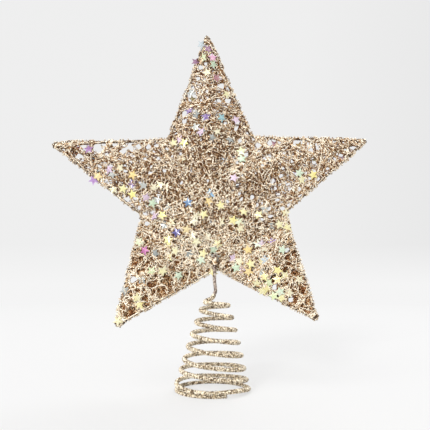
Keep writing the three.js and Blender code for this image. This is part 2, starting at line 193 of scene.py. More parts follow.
# Lengths of the curled threads
INNER_CURL_LENGTHS = (7, 18)
HOLLOW_CURL_LENGTHS = (3, 7)
OUTER_CURL_LENGTHS = (3, 11)
# Tones, from 0 for dark to 1 for light, and how much they differ from thread to thread
# Dark partly as the inner thread's duller colour and partly as painted shade for the depth of the sheet
INNER_SHADED_TONE = 0.3
# Painted shade: the threads inside the shaded windows are drawn darkest
HOLLOW_PAINTED_SHADE_TONE = 0.05
OUTER_TONE = 0.9
TONE_SPREAD = 0.17
# How much paler the whole star is, and then its low middle, right arm, lower left arm, arms and foot; the
# paler low middle and foot are painted light, as the lower faces catch light off the table
PALE_ALL = 0.08
PAINTED_LIGHT_LOW_MIDDLE = 0.24
PALE_RIGHT = 0.1
PALE_LOWER_LEFT = 0.12
PALE_ARMS = 0.1
PAINTED_LIGHT_BELOW = 0.03
# How much browner its left valley, lower right arm, top arm and top point are; the browner top arm is painted
# shade over the star's upper part
BROWN_LEFT_VALLEY = 0.14
BROWN_LOWER_RIGHT = 0.08
PAINTED_SHADE_TOP = 0.12
BROWN_TIP = 0.15
# Where a thread turns round the outline: how far out, in radii of the wire, and through which angles
EDGE_WRAP_REACH = (1.3, 1.7)
EDGE_WRAP_ANGLES = (2.5, 1.9, 1.3, 0.7)
BUNDLE = 4
LONG_TRIES = 80
ARM_TRIES = 12
WEB_SEED = 2412

# Ribs: the core, the thread wound on it and where that runs, as shares of the radius
RIB_RADIUS = 0.7
RIB_CORE = 0.62
RIB_WRAP = 0.4
RIB_WRAP_CENTRE = 0.55
RIB_WRAP_PITCH = 1.6
RIB_STEPS = 90

# Camera: the photograph is 430 pixels square
PHOTO_SIZE = 430
PHOTO_FOCAL = 490
SENSOR_WIDTH = 36
CAMERA_PLACE = (0.003998, -0.337542, 0.0699)
CAMERA_PITCH = math.radians(8.015)
# A sheet's depth to begin with and how often it is corrected, where a ray of the camera meets it
RAY_DEPTH = 8.0
RAY_TRIES = 12

# Stage and light: distances in metres, pale greys as they show on a screen
FLOOR_FADE = (0.25, 1.6)
FLOOR_NEAR = 0.963
SHADOW_SOFTENING = 0.62
BACKDROP_LOW = 0.96
# The backdrop higher up, left and right, painted darker upward and to the right where the light falls off,
# and the sines of the angles over which it changes
BACKDROP_HIGH = (0.936, 0.910)
BACKDROP_RISE = (0.0, 0.075)
BACKDROP_SIDEWAYS = (0.17, 0.45)
FLOOR_SIZE = 14
FLOOR_GREY = 0.93
WORLD_LIGHT = 0.46

# Windows between the threads, read in the photograph: across, down and radius in pixels.
# The first list shows the background, the second only the shaded inside
CLEAR_GAPS_PX = (
    (192.1, 96.6, 5.0), (185.2, 113.4, 3.2), (184.5, 121.8, 2.6), (198.3, 78.2, 2.6), (206.7, 91.2, 1.9),
    (221.2, 86.6, 3.2), (228.1, 100.4, 3.4), (215.0, 102.7, 2.2), (219.7, 101.2, 1.8), (237.3, 122.6, 2.6),
    (212.8, 55.2, 2.6), (138.9, 147.0, 3.2), (148.3, 147.0, 3.2), (114.9, 144.8, 2.6), (121.9, 150.6, 2.6),
    (125.8, 148.8, 2.6), (97.0, 146.5, 4.0), (99.5, 150.5, 3.0), (77.0, 156.3, 2.4), (81.0, 156.3, 2.4),
    (110.3, 166.2, 2.4), (120.4, 168.6, 2.3), (107.5, 182.6, 2.0), (111.5, 181.6, 1.8), (126.6, 199.7, 2.6),
    (146.4, 196.6, 2.4), (258.0, 145.3, 3.2), (269.5, 143.0, 2.8), (274.0, 141.6, 2.4), (295.5, 142.8, 2.8),
    (300.2, 141.8, 2.8), (317.2, 145.0, 2.2), (317.0, 148.6, 2.0), (313.8, 158.6, 2.4), (314.2, 163.4, 2.2),
    (325.0, 156.1, 2.2), (341.3, 156.1, 3.2), (351.0, 147.6, 2.4), (355.0, 148.8, 2.2), (273.9, 180.8, 2.4),
    (275.5, 188.0, 2.2), (289.9, 189.6, 1.8), (146.9, 223.8, 2.6), (268.9, 208.9, 2.2), (287.0, 250.2, 2.8),
    (274.1, 287.3, 2.8), (290.4, 299.3, 3.0), (133.3, 279.5, 3.4), (269.1, 208.7, 1.8), (334.5, 141.5, 2.0),
    (84.5, 146.2, 3.2),
)
SHADED_GAPS_PX = (
    (134.8, 262.7, 3.4), (162.3, 289.0, 3.6), (162.8, 293.5, 3.4), (150.2, 285.2, 2.6), (153.6, 291.2, 2.6),
    (154.9, 282.5, 2.2), (168.9, 280.2, 3.0), (169.6, 285.8, 2.6), (145.4, 297.9, 2.8), (184.3, 279.5, 3.0),
    (193.0, 275.2, 2.4), (130.7, 294.2, 2.6), (131.8, 310.2, 3.0), (127.6, 314.6, 3.0), (122.7, 305.9, 2.8),
    (198.2, 245.8, 2.0), (274.1, 277.8, 3.6), (287.0, 257.4, 2.8), (294.7, 253.2, 2.8), (285.2, 270.0, 2.8),
    (293.9, 272.6, 3.4), (278.6, 286.8, 2.2), (295.6, 297.6, 2.4), (295.2, 301.6, 2.2), (307.6, 301.0, 3.0),
    (311.9, 307.9, 2.6), (302.5, 276.9, 2.6), (250.8, 267.5, 2.0), (308.5, 312.2, 2.0), (299.8, 285.0, 2.4),
    (289.0, 263.8, 2.2), (303.0, 290.5, 2.4), (141.5, 258.5, 2.2), (176.5, 262.5, 2.0),
)

# Sequins read in the photograph: across and down in pixels, and foil
SEQUINS_PX = (
    (207.6, 45.2, "mauve"), (201.5, 44.5, "white"), (212.5, 56.0, "pink"), (203.5, 58.0, "lime"),
    (213.4, 65.0, "mint"), (195.8, 61.5, "mauve"), (207.0, 72.0, "cream"), (216.6, 77.6, "rose"),
    (188.0, 93.0, "silver"), (191.0, 96.0, "cream"), (227.0, 94.6, "pale_yellow"),
    (189.0, 110.0, "plum"), (206.0, 116.5, "plum"), (221.6, 118.0, "teal"), (196.0, 114.6, "silver"),
    (236.8, 122.3, "lilac"), (204.0, 129.0, "silver"), (212.5, 137.0, "silver"),
    (173.6, 143.0, "pale_yellow"), (184.3, 143.0, "yellow"), (240.8, 151.4, "lime"),
    (241.3, 158.2, "mint"), (87.8, 149.5, "purple"), (98.2, 176.3, "gold"), (93.8, 180.6, "orchid"),
    (132.2, 174.7, "gold"), (132.7, 183.7, "plum"), (132.7, 194.2, "yellow"), (157.0, 199.5, "silver"),
    (152.7, 203.5, "mint"), (188.1, 199.4, "blue"), (189.2, 207.6, "mint"), (210.6, 193.3, "sky"),
    (230.4, 179.6, "lilac"), (220.8, 205.7, "yellow"), (233.1, 220.2, "yellow"),
    (160.7, 214.7, "yellow"), (176.0, 233.0, "indigo"), (167.8, 239.4, "yellow"),
    (175.5, 251.0, "pale_yellow"), (139.3, 242.0, "lime"), (145.3, 250.0, "magenta"),
    (155.0, 253.7, "silver"), (202.9, 253.7, "yellow"), (213.9, 249.7, "mint"), (201.3, 260.0, "mint"),
    (178.3, 275.6, "mint"), (161.8, 271.5, "pale_yellow"), (124.8, 290.7, "silver"),
    (137.0, 297.5, "pale_yellow"), (117.9, 320.8, "pale_yellow"), (239.5, 261.5, "pale_yellow"),
    (250.9, 263.8, "yellow"), (277.5, 270.0, "yellow"), (277.0, 279.7, "gold"),
    (285.0, 275.6, "pale_yellow"), (273.7, 295.6, "lime"), (267.4, 289.3, "yellow"),
    (282.5, 250.0, "lime"), (272.0, 241.9, "violet"), (279.2, 224.9, "pale_yellow"),
    (313.4, 174.7, "yellow"), (298.9, 173.3, "lime"), (301.6, 179.6, "pale_yellow"),
    (192.0, 235.3, "cream"), (207.0, 236.4, "cream"), (248.2, 250.0, "gold"), (264.6, 209.0, "silver"),
    (181.5, 159.5, "cream"), (233.1, 170.0, "cream"), (213.3, 272.3, "yellow"),
    (123.0, 189.0, "pale_yellow"), (168.0, 208.5, "silver"), (154.0, 216.0, "lilac"),
    (165.0, 225.0, "silver"), (195.5, 127.0, "silver"), (200.5, 131.5, "lilac"),
    (217.0, 131.0, "cream"), (230.0, 139.5, "silver"), (225.5, 160.5, "white"), (179.0, 139.0, "lilac"),
    (109.0, 169.5, "lilac"), (112.5, 174.0, "silver"), (119.5, 168.0, "cream"), (146.5, 197.5, "lilac"),
    (153.5, 187.0, "cream"), (160.0, 184.5, "pale_yellow"), (166.5, 186.5, "cream"),
    (143.5, 185.5, "silver"), (113.5, 189.5, "cream"), (152.0, 271.0, "lime"), (141.5, 279.5, "silver"),
    (209.0, 201.5, "gold"), (196.5, 215.5, "cream"), (203.5, 214.0, "pale_yellow"),
    (221.0, 221.5, "cream"), (186.5, 229.5, "gold"), (196.5, 241.5, "pale_yellow"),
    (217.5, 243.5, "pale_yellow"), (189.5, 254.0, "silver"), (215.5, 256.5, "silver"),
    (236.0, 267.5, "mint"), (241.5, 270.5, "lilac"), (248.5, 271.5, "gold"), (259.5, 273.0, "silver"),
    (264.0, 276.5, "yellow"), (256.5, 283.5, "pale_yellow"), (257.5, 243.5, "mint"),
    (262.0, 244.0, "lilac"), (258.0, 214.5, "pale_yellow"), (240.5, 228.0, "cream"),
    (272.5, 225.5, "silver"), (268.5, 282.5, "lime"), (262.5, 291.0, "pale_yellow"),
    (289.0, 293.0, "cream"), (299.5, 280.0, "cream"), (233.5, 258.0, "lilac"), (265.0, 259.5, "white"),
    (171.5, 222.0, "cream"),
)
# Bundles of brown thread read in the photograph: how many threads, then across and down in pixels
BUNDLES_PX = (
    (7, ((174.0, 110.0), (181.0, 106.0), (201.0, 105.0), (220.0, 107.5), (240.0, 116.0), (250.5, 125.0))),
    (5, ((316.5, 138.5), (319.0, 143.0), (324.0, 153.0), (324.5, 160.0), (322.0, 169.0))),
    (4, ((262.0, 152.0), (275.0, 149.0), (292.0, 150.0), (306.0, 155.0))),
    (4, ((98.0, 160.0), (108.0, 157.0), (121.0, 160.0), (136.0, 158.0))),
)
SEQUIN_TIP_RADIUS = 3.7
SEQUIN_VALLEY_RADIUS = 1.65
SEQUIN_THICKNESS = 0.14
SEQUIN_DISH = 0.22
SUNK_FOILS = ("silver", "white", "cream", "lilac", "mauve", "violet", "plum", "magenta", "sky")
SEQUIN_TILT = math.radians(14)
# How far sequins lie off the sheet where they are caught in the thread and where they lie on it
SUNK_LIFT = (-0.9, 0.0)
LOOSE_LIFT = (-0.2, 0.7)
SEQUIN_COUNT = 24
BACK_SEQUINS = 62
CHANCE_SEQUINS = 14
CHANCE_FOILS = ("pale_yellow", "pale_yellow", "cream", "lime", "silver", "mint", "yellow")
BACK_FOILS = (
    "cream", "gold", "lilac", "lime", "mint", "orchid", "pale_yellow", "pink", "silver", "sky", "teal",
    "violet", "white", "yellow",
)

# Foils: colour where it is strong, colour where it pales, and the record's slot
FOILS = {
    "yellow": ((0.90, 0.85, 0.52), (0.92, 0.89, 0.70), "foil_yellow"),
    "pale_yellow": ((0.88, 0.85, 0.63), (0.90, 0.88, 0.76), "foil_yellow"),
    "lime": ((0.80, 0.85, 0.65), (0.87, 0.89, 0.77), "foil_yellow"),
    "cream": ((0.85, 0.82, 0.68), (0.90, 0.88, 0.79), "foil_yellow"),
    "gold": ((0.90, 0.79, 0.53), (0.92, 0.86, 0.68), "foil_gold"),
    "mint": ((0.76, 0.83, 0.72), (0.86, 0.89, 0.82), "foil_mint"),
    "teal": ((0.48, 0.68, 0.72), (0.76, 0.86, 0.86), "foil_mint"),
    "silver": ((0.55, 0.57, 0.56), (0.72, 0.73, 0.71), "foil_silver"),
    "white": ((0.70, 0.75, 0.77), (0.80, 0.84, 0.86), "foil_silver"),
    "lilac": ((0.74, 0.65, 0.73), (0.88, 0.81, 0.86), "foil_lilac"),
    "violet": ((0.52, 0.42, 0.70), (0.78, 0.68, 0.86), "foil_lilac"),
    "plum": ((0.32, 0.24, 0.46), (0.54, 0.45, 0.64), "foil_lilac"),
    "mauve": ((0.45, 0.30, 0.42), (0.66, 0.52, 0.61), "foil_lilac"),
    "indigo": ((0.30, 0.28, 0.49), (0.52, 0.50, 0.67), "foil_blue"),
    "blue": ((0.22, 0.33, 0.46), (0.42, 0.53, 0.66), "foil_blue"),
    "sky": ((0.50, 0.70, 0.86), (0.82, 0.90, 0.95), "foil_blue"),
    "magenta": ((0.58, 0.25, 0.48), (0.76, 0.50, 0.67), "foil_pink"),
    "purple": ((0.42, 0.24, 0.46), (0.64, 0.47, 0.66), "foil_pink"),
    "orchid": ((0.66, 0.48, 0.74), (0.84, 0.73, 0.89), "foil_pink"),
    "rose": ((0.62, 0.44, 0.47), (0.78, 0.65, 0.64), "foil_pink"),
    "pink": ((0.85, 0.64, 0.75), (0.92, 0.82, 0.87), "foil_pink"),
}

rng = np.random.default_rng(WEB_SEED)


# Shared helpers


def unit(vectors):
    return vectors / np.maximum(np.linalg.norm(vectors, axis=-1, keepdims=True), 1e-9)


def smoothstep(values, low, high):
    share = np.clip((values - low) / (high - low), 0, 1)
    return share * share * (3 - 2 * share)


def linear_rgb(colour):
    """A screen colour, 0 to 1, as the linear light that a socket takes"""
    return tuple(c / 12.92 if c <= 0.04045 else ((c + 0.055) / 1.055) ** 2.4 for c in colour) + (1.0,)


def carried_frames(paths):
    """Direction along each path and two directions across it, carried along without twist"""
    along = unit(np.gradient(paths, axis=1))
    least = np.argmin(np.abs(along[:, 0]), axis=1)
    up = np.eye(3)[least]
    ups = np.empty_like(along)
    for step in range(paths.shape[1]):
        here = along[:, step]
        up = unit(up - np.sum(up * here, axis=1, keepdims=True) * here)
        ups[:, step] = up
    return along, ups, np.cross(along, ups)


class Shape:
    """Points, faces and values per point, gathered up and then made one mesh"""

    def __init__(self):
        self.points = []
        self.faces = []
        self.values = {}
        self.count = 0

    def add(self, points, faces, **values):
        self.points.append(points)
        self.faces += [face + self.count for face in faces]
        self.count += len(points)
        for key, value in values.items():
            self.values.setdefault(key, []).append(np.broadcast_to(value, len(points)))

    def tubes(self, paths, radii, sides=4, **values):
        """A closed tube along each path; paths are (count, steps, 3) and radii and values (count, steps)"""
        count, steps, _ = paths.shape
        _, ups, across = carried_frames(paths)
        angles = np.arange(sides) * TURN / sides
        rings = ups[:, :, None] * np.cos(angles)[:, None] + across[:, :, None] * np.sin(angles)[:, None]
        points = paths[:, :, None] + rings * np.broadcast_to(radii, (count, steps))[:, :, None, None]
        index = np.arange(count * steps * sides).reshape(count, steps, sides)
        turned = np.roll(index, -1, axis=2)
        walls = np.stack([index[:, :-1], turned[:, :-1], turned[:, 1:], index[:, 1:]], axis=-1)
        starts = index[:, 0, ::-1]
        ends = index[:, -1]
        spread = {
            key: np.repeat(np.broadcast_to(value, (count, steps)).reshape(-1), sides)
            for key, value in values.items()
        }
        self.add(points.reshape(-1, 3), [walls.reshape(-1, 4), starts, ends], **spread)

    def piece(self, name, material, floor=None, smooth=True):
        """The gathered points as an object in the frame's metres"""
        points = (np.concatenate(self.points) + AXIS_SHIFT) * MM
        if floor is not None:
            points[:, 2] = np.maximum(points[:, 2], floor)
        corners = np.concatenate([face.reshape(-1) for face in self.faces])
        sizes = np.concatenate([np.full(len(face), face.shape[1]) for face in self.faces])
        mesh = bpy.data.meshes.new(name)
        mesh.vertices.add(len(points))
        mesh.vertices.foreach_set("co", points.astype(np.float32).reshape(-1))
        mesh.loops.add(len(corners))
        mesh.loops.foreach_set("vertex_index", corners.astype(np.int32))
        mesh.polygons.add(len(sizes))
        mesh.polygons.foreach_set("loop_start", (np.cumsum(sizes) - sizes).astype(np.int32))
        mesh.polygons.foreach_set("use_smooth", np.full(len(sizes), smooth))
        mesh.update(calc_edges=True)
        for key, parts in self.values.items():
            attribute = mesh.attributes.new(key, "FLOAT", "POINT")
            attribute.data.foreach_set("value", np.concatenate(parts).astype(np.float32))
        mesh.materials.append(material)
        piece = bpy.data.objects.new(name, mesh)
        bpy.context.scene.collection.objects.link(piece)
        return piece


def deselect_all():
    bpy.ops.object.select_all(action="DESELECT")


def wound_thread(points, stations, pitch, centre_radius):
    """A thread wound round a path: its own path, and the station of each of its points"""
    _, ups, across = (part[0] for part in carried_frames(points[None]))
    spans = np.linalg.norm(np.diff(points, axis=0), axis=1)
    lengths = np.concatenate([[0], np.cumsum(spans)])
    samples = np.linspace(0, lengths[-1], int(lengths[-1] / pitch * WRAP_STEPS_PER_WIND))

    def along(values):
        return np.stack([np.interp(samples, lengths, column) for column in values.T], axis=-1)

    angles = samples / pitch * TURN
    away = unit(along(ups)) * np.cos(angles)[:, None] + unit(along(across)) * np.sin(angles)[:, None]
    return along(points) + centre_radius * away, np.interp(samples, lengths, stations)


# Materials


def new_group(name, inputs, outputs):
    group = bpy.data.node_groups.new(name, "ShaderNodeTree")
    for label, kind, value in inputs:
        socket = group.interface.new_socket(label, in_out="INPUT", socket_type=kind)
        socket.default_value = value
    for label, kind in outputs:
        group.interface.new_socket(label, in_out="OUTPUT", socket_type=kind)
    return group, group.nodes.new("NodeGroupInput"), group.nodes.new("NodeGroupOutput")


def mix_colour(tree, factor, first, second):
    node = tree.nodes.new("ShaderNodeMix")
    node.data_type = "RGBA"
    tree.links.new(factor, node.inputs["Factor"])
    tree.links.new(first, node.inputs["A"])
    tree.links.new(second, node.inputs["B"])
    return node.outputs["Result"]


def map_range(tree, value, from_min, from_max, to_min, to_max):
    node = tree.nodes.new("ShaderNodeMapRange")
    tree.links.new(value, node.inputs["Value"])
    limits = {"From Min": from_min, "From Max": from_max, "To Min": to_min, "To Max": to_max}
    for label, number in limits.items():
        node.inputs[label].default_value = number
    return node.outputs["Result"]


def maths(tree, operation, first, second):
    node = tree.nodes.new("ShaderNodeMath")
    node.operation = operation
    for socket, value in zip(node.inputs, (first, second)):
        if isinstance(value, (int, float)):
            socket.default_value = value
        else:
            tree.links.new(value, socket)
    return node.outputs["Value"]


def colour_nodes(tree, colours):
    """A node for each screen colour, returned as the nodes' outputs"""
    made = []
    for colour in colours:
        node = tree.nodes.new("ShaderNodeRGB")
        node.outputs["Color"].default_value = linear_rgb(colour)
        made.append(node.outputs["Color"])
    return made


def seen_rays(tree):
    """1 for what the camera sees straight, in a gloss or through glass, and 0 for light on the object"""
    rays = tree.nodes.new("ShaderNodeLightPath")
    seen = maths(tree, "MAXIMUM", rays.outputs["Is Camera Ray"], rays.outputs["Is Glossy Ray"])
    return maths(tree, "MAXIMUM", seen, rays.outputs["Is Transmission Ray"])


def glitter_coat():
    """Fine glitter: each flake has its own tone, gloss and height"""
    colour, number = "NodeSocketColor", "NodeSocketFloat"
    group, given, made = new_group(
        "glitter coat",
        (
            ("Tone", number, 0.5), ("Flakes", number, 2400), ("Spread", number, 0.5),
            ("Dark", colour, (0, 0, 0, 1)), ("Middle", colour, (0.5, 0.5, 0.5, 1)),
            ("Light", colour, (1, 1, 1, 1)),
        ),
        (("Colour", colour), ("Roughness", number), ("Metallic", number), ("Height", number)),
    )
    place = group.nodes.new("ShaderNodeTexCoord")
    flakes = group.nodes.new("ShaderNodeTexVoronoi")
    group.links.new(place.outputs["Object"], flakes.inputs["Vector"])
    group.links.new(given.outputs["Flakes"], flakes.inputs["Scale"])
    parts = group.nodes.new("ShaderNodeSeparateColor")
    group.links.new(flakes.outputs["Color"], parts.inputs["Color"])
    centred = maths(group, "SUBTRACT", parts.outputs["Red"], 0.5)
    varied = maths(group, "MULTIPLY", centred, given.outputs["Spread"])
    tone = maths(group, "ADD", given.outputs["Tone"], varied)
    lower = map_range(group, tone, 0.0, 0.5, 0.0, 1.0)
    upper = map_range(group, tone, 0.5, 1.0, 0.0, 1.0)
    below = mix_colour(group, lower, given.outputs["Dark"], given.outputs["Middle"])
    group.links.new(mix_colour(group, upper, below, given.outputs["Light"]), made.inputs["Colour"])
    group.links.new(map_range(group, parts.outputs["Green"], 0, 1, 0.22, 0.65), made.inputs["Roughness"])
    group.links.new(map_range(group, parts.outputs["Blue"], 0.35, 1, 0.1, 0.75), made.inputs["Metallic"])
    group.links.new(parts.outputs["Blue"], made.inputs["Height"])
    return group


COAT = glitter_coat()


def start_material(name):
    material = bpy.data.materials.new(name)
    material.use_nodes = True
    tree = material.node_tree
    shader = tree.nodes["Principled BSDF"]
    return material, tree, shader


def add_bump(tree, shader, height, strength, depth):
    bump = tree.nodes.new("ShaderNodeBump")
    bump.inputs["Strength"].default_value = strength
    bump.inputs["Distance"].default_value = depth * MM
    tree.links.new(height, bump.inputs["Height"])
    tree.links.new(bump.outputs["Normal"], shader.inputs["Normal"])


def glitter_material(name, dark, middle, light, flakes=2400, spread=0.5, bump=0.5):
    """Wire or thread coated with glitter; the tone attribute says how light each length of it is"""
    material, tree, shader = start_material(name)
    tone = tree.nodes.new("ShaderNodeAttribute")
    tone.attribute_name = "tone"
    coat = tree.nodes.new("ShaderNodeGroup")
    coat.node_tree = COAT
    tree.links.new(tone.outputs["Fac"], coat.inputs["Tone"])
    coat.inputs["Flakes"].default_value = flakes
    coat.inputs["Spread"].default_value = spread
    for label, colour in (("Dark", dark), ("Middle", middle), ("Light", light)):
        coat.inputs[label].default_value = linear_rgb(colour)
    tree.links.new(coat.outputs["Colour"], shader.inputs["Base Color"])
    tree.links.new(coat.outputs["Roughness"], shader.inputs["Roughness"])
    tree.links.new(coat.outputs["Metallic"], shader.inputs["Metallic"])
    add_bump(tree, shader, coat.outputs["Height"], bump, 0.12)
    return material


def foil_material(name, strong, pale):
    """Thin coated foil, stronger and paler in soft patches, with fine creases"""
    material, tree, shader = start_material(name)
    place = tree.nodes.new("ShaderNodeTexCoord")
    patches = tree.nodes.new("ShaderNodeTexNoise")
    patches.inputs["Scale"].default_value = 320
    patches.inputs["Detail"].default_value = 1
    tree.links.new(place.outputs["Object"], patches.inputs["Vector"])
    tone = tree.nodes.new("ShaderNodeAttribute")
    tone.attribute_name = "tone"
    patch = map_range(tree, patches.outputs["Fac"], 0.35, 0.65, -0.3, 0.3)
    share = map_range(tree, maths(tree, "ADD", tone.outputs["Fac"], patch), 0, 1, 0, 1)
    ends = colour_nodes(tree, (strong, pale))
    tree.links.new(mix_colour(tree, share, *ends), shader.inputs["Base Color"])
    creases = tree.nodes.new("ShaderNodeTexNoise")
    creases.inputs["Scale"].default_value = 900
    tree.links.new(place.outputs["Object"], creases.inputs["Vector"])
    rough = map_range(tree, creases.outputs["Fac"], 0.3, 0.7, 0.18, 0.42)
    tree.links.new(rough, shader.inputs["Roughness"])
    shader.inputs["Metallic"].default_value = 0.1
    shader.inputs["Coat Weight"].default_value = 0.25
    shader.inputs["Coat Roughness"].default_value = 0.12
    add_bump(tree, shader, creases.outputs["Fac"], 0.3, 0.1)
    return material


CREAM = (1.0, 0.96, 0.88)
THREAD_FINISH = glitter_material("glitter thread", (0.40, 0.25, 0.12), (0.81, 0.66, 0.48), CREAM, 1000, 1.8)
# The inner threads' browns: partly their own duller thread, partly painted shade for the depth of the sheet
INNER_SHADED_DARK = (0.52, 0.31, 0.15)
INNER_LIGHT = (0.97, 0.87, 0.71)
INNER_SHADED_FINISH = glitter_material("inner thread", INNER_SHADED_DARK, (0.76, 0.55, 0.34), INNER_LIGHT, 1000, 2.0)
OUTLINE_FINISH = glitter_material("outline glitter", (0.29, 0.21, 0.14), (0.66, 0.55, 0.43), CREAM, 1000, 2.0)
SPRING_DARK = (0.38, 0.29, 0.18)
SPRING_FINISH = glitter_material("spring glitter", SPRING_DARK, (0.89, 0.81, 0.66), CREAM, 1500, 2.7, 0.8)
# The stem's coating is greyer than the spring's, and its colours are also drawn darker as painted shade under
# the star
STEM_LIGHT = (0.90, 0.85, 0.80)
STEM_SHADED_FINISH = glitter_material("stem coating with painted shade", (0.32, 0.25, 0.21), (0.60, 0.53, 0.48), STEM_LIGHT, 1100, 1.3)
RIB_FINISH = glitter_material("rib glitter", (0.36, 0.26, 0.16), (0.58, 0.47, 0.34), (0.82, 0.72, 0.58))


# Spring


def settled(turns, column):
    """How far the uneven turns rise (column 2) or spread (column 3) along the wire"""
    total = 0
    for row in TURN_SETTLING:
        away = np.clip((turns - row[0]) / row[1], -1, 1)
        total = total + row[column] * np.cos(away * math.pi / 2)**2
    return total


def coil_radius(turns):
    share = np.clip((turns - TAPER_START) / (TAPER_END - TAPER_START), 0, 1)
    closed = (1 - COIL_TAPER_BOW) * share + COIL_TAPER_BOW * share**2
    drawn_in = SPRING_DRAWN_IN[0] + (SPRING_DRAWN_IN[1] - SPRING_DRAWN_IN[0]) * share
    return COIL_FOOT_RADIUS + (COIL_NECK_RADIUS - COIL_FOOT_RADIUS) * closed + settled(turns, 3) - drawn_in


def coil_height(turns):
    """Height of the spring's wire, a number of turns from its end on the table"""
    run = np.maximum(turns - RAMP_START, 0)
    eased = np.where(run < RAMP_EASE, run**2 / (2 * RAMP_EASE), run - RAMP_EASE / 2)
    lift = (COIL_WIRE_DIAMETER + FOOT_TURN_GAP) * smoothstep(turns, FLAT_END, FIRST_LIFT_END)
    return COIL_WIRE_DIAMETER / 2 - FOOT_FLAT_DEPTH + lift + COIL_PITCH * eased + settled(turns, 2)


def coil_point(turns):
    """Middle of the spring's wire, a number of turns from its end on the table"""
    turns = np.asarray(turns, dtype=float)
    height = coil_height(turns)
    angle = COIL_END_ANGLE - turns * TURN
    radius = coil_radius(turns)
    tilt = math.sin(COIL_TURN_TILT) * smoothstep(turns, TILT_START, TILT_END)
    return np.stack([
        COIL_AXIS_LEAN * height + radius * np.cos(angle),
        radius * np.sin(angle),
        height - radius * np.cos(angle) * tilt,
    ], axis=-1)


def through(points, steps):
    """A smooth curve through points, evenly stepped between each two of them (centripetal)"""
    points = np.asarray(points, dtype=float)
    before = 2 * points[0] - points[1]
    after = 2 * points[-1] - points[-2]
    line = np.vstack([before, points, after])
    gaps = np.sqrt(np.linalg.norm(np.diff(line, axis=0), axis=1))
    made = []
    for i in range(len(points) - 1):
        a, b, c, d = line[i:i + 4]
        ab, bc, cd = gaps[i:i + 3]
        leave = ((b - a) / ab - (c - a) / (ab + bc) + (c - b) / bc) * bc
        arrive = ((c - b) / bc - (d - b) / (bc + cd) + (d - c) / cd) * bc
        share = (np.arange(steps) / steps)[:, None]
        cubic = 2 * b - 2 * c + leave + arrive
        square = -3 * b + 3 * c - 2 * leave - arrive
        made.append(b + leave * share + square * share**2 + cubic * share**3)
    return np.vstack([*made, points[-1:]])


def spring_line():
    """Middle of the whole spring wire and its station in turns, the neck's carried on at its last width"""
    turns = np.linspace(0, HELIX_END, int(HELIX_END * SPRING_STEPS_PER_TURN) + 1)
    helix_top = coil_point(HELIX_END)
    lead = coil_point(HELIX_END - 2 / CAD_STEPS_PER_TURN)
    corners = np.vstack([lead, helix_top, helix_top + NECK_ROUTE])
    per_span = NECK_STEPS // len(NECK_ROUTE)
    neck = through(corners, per_span)[per_span + 1:]
    points = np.vstack([coil_point(turns), neck])
    lengths = np.cumsum(np.linalg.norm(np.diff(points, axis=0), axis=1))[len(turns) - 1:]
    helix_length = np.sum(np.linalg.norm(np.diff(coil_point(turns), axis=0), axis=1))
    stations = HELIX_END + (lengths - helix_length) / (TURN * COIL_NECK_RADIUS)
    return points, np.concatenate([turns, stations])


def blend_along(piece):
    """The piece's placement baked into its points"""
    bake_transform(piece)


def build_spring():
    points, stations = spring_line()
    wrap, wrap_stations = wound_thread(points, stations, SPRING_WRAP_PITCH, SPRING_WRAP_CENTRE)
    more, thin_end, thick_start = SPRING_THICKER
    middle = np.stack([np.interp(wrap_stations, stations, column) for column in points.T], axis=-1)
    wrap = middle + (wrap - middle) * (1 + more * smoothstep(wrap_stations, thin_end, thick_start))[:, None]
    end = stations[-1]
    lengths = (
        ("spring_lower_wound", "coil_lower", 0, LOWER_END, FIRST_TURN_TO_GIVE, LOWER_END),
        ("spring_middle_wound", "coil_middle", LOWER_END, MIDDLE_END, LOWER_END, MIDDLE_END),
        ("spring_neck_wound", "coil_top", MIDDLE_END, end, MIDDLE_END, LAST_TURN_TO_GIVE),
    )
    bodies = ("spring_foot", "spring_middle", "spring_neck", "star")
    for (name, node, first, last, give_from, give_to), below, above in zip(lengths, bodies, bodies[1:]):
        shape = Shape()
        for line, places, radius, sides, base in (
            (points, stations, SPRING_CORE_RADIUS, 12, 0.0),
            (wrap, wrap_stations, SPRING_WRAP_RADIUS, 5, SPRING_WRAP_TONE),
        ):
            kept = (places >= first - 1e-6) & (places <= last + 1e-6)
            given = coil_height if last == LOWER_END else np.asarray
            weights = (given(places[kept]) - given(give_from)) / (given(give_to) - given(give_from))
            weights = np.clip(weights, 0, 1)
            uneven = 1 + 0.08 * np.sin(places[kept] * 173) * np.sin(places[kept] * 59)
            uneven += more * smoothstep(places[kept], thin_end, thick_start)
            tone = base + 0.1 * np.sin(places[kept] * 211) * np.sin(places[kept] * 37)
            # Painted shade on the turns that lie on the table
            tone -= FOOT_PAINTED_SHADE * (1 - smoothstep(places[kept], *FOOT_SHADE_FADE))
            radii = (radius * uneven)[None]
            shape.tubes(line[kept][None], radii, sides, tone=tone[None], weight=weights[None])
        piece = shape.piece(name, SPRING_FINISH, floor=0.0)
        weights = np.concatenate(shape.values["weight"])
        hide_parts(node)
        blend_along(piece)
    return points


# Star outline


def star_corner(radius, step, stray):
    angle = math.radians(90 + STAR_LEAN) - step * TURN / (2 * STAR_POINTS)
    return STAR_CENTRE + radius * np.array((math.cos(angle), math.sin(angle))) + stray


def inset(corners, distance):
    """Clockwise corners, each moved to where its sides meet once they are moved inward"""
    along = unit(np.roll(corners, -1, axis=0) - corners)
    inward = np.stack([along[:, 1], -along[:, 0]], axis=-1)
    start = corners + inward * distance
    made = []
    for i in range(len(corners)):
        between = start[i] - start[i - 1]
        share = np.cross(between, along[i]) / np.cross(along[i - 1], along[i])
        made.append(start[i - 1] + along[i - 1] * share)
    return np.array(made)


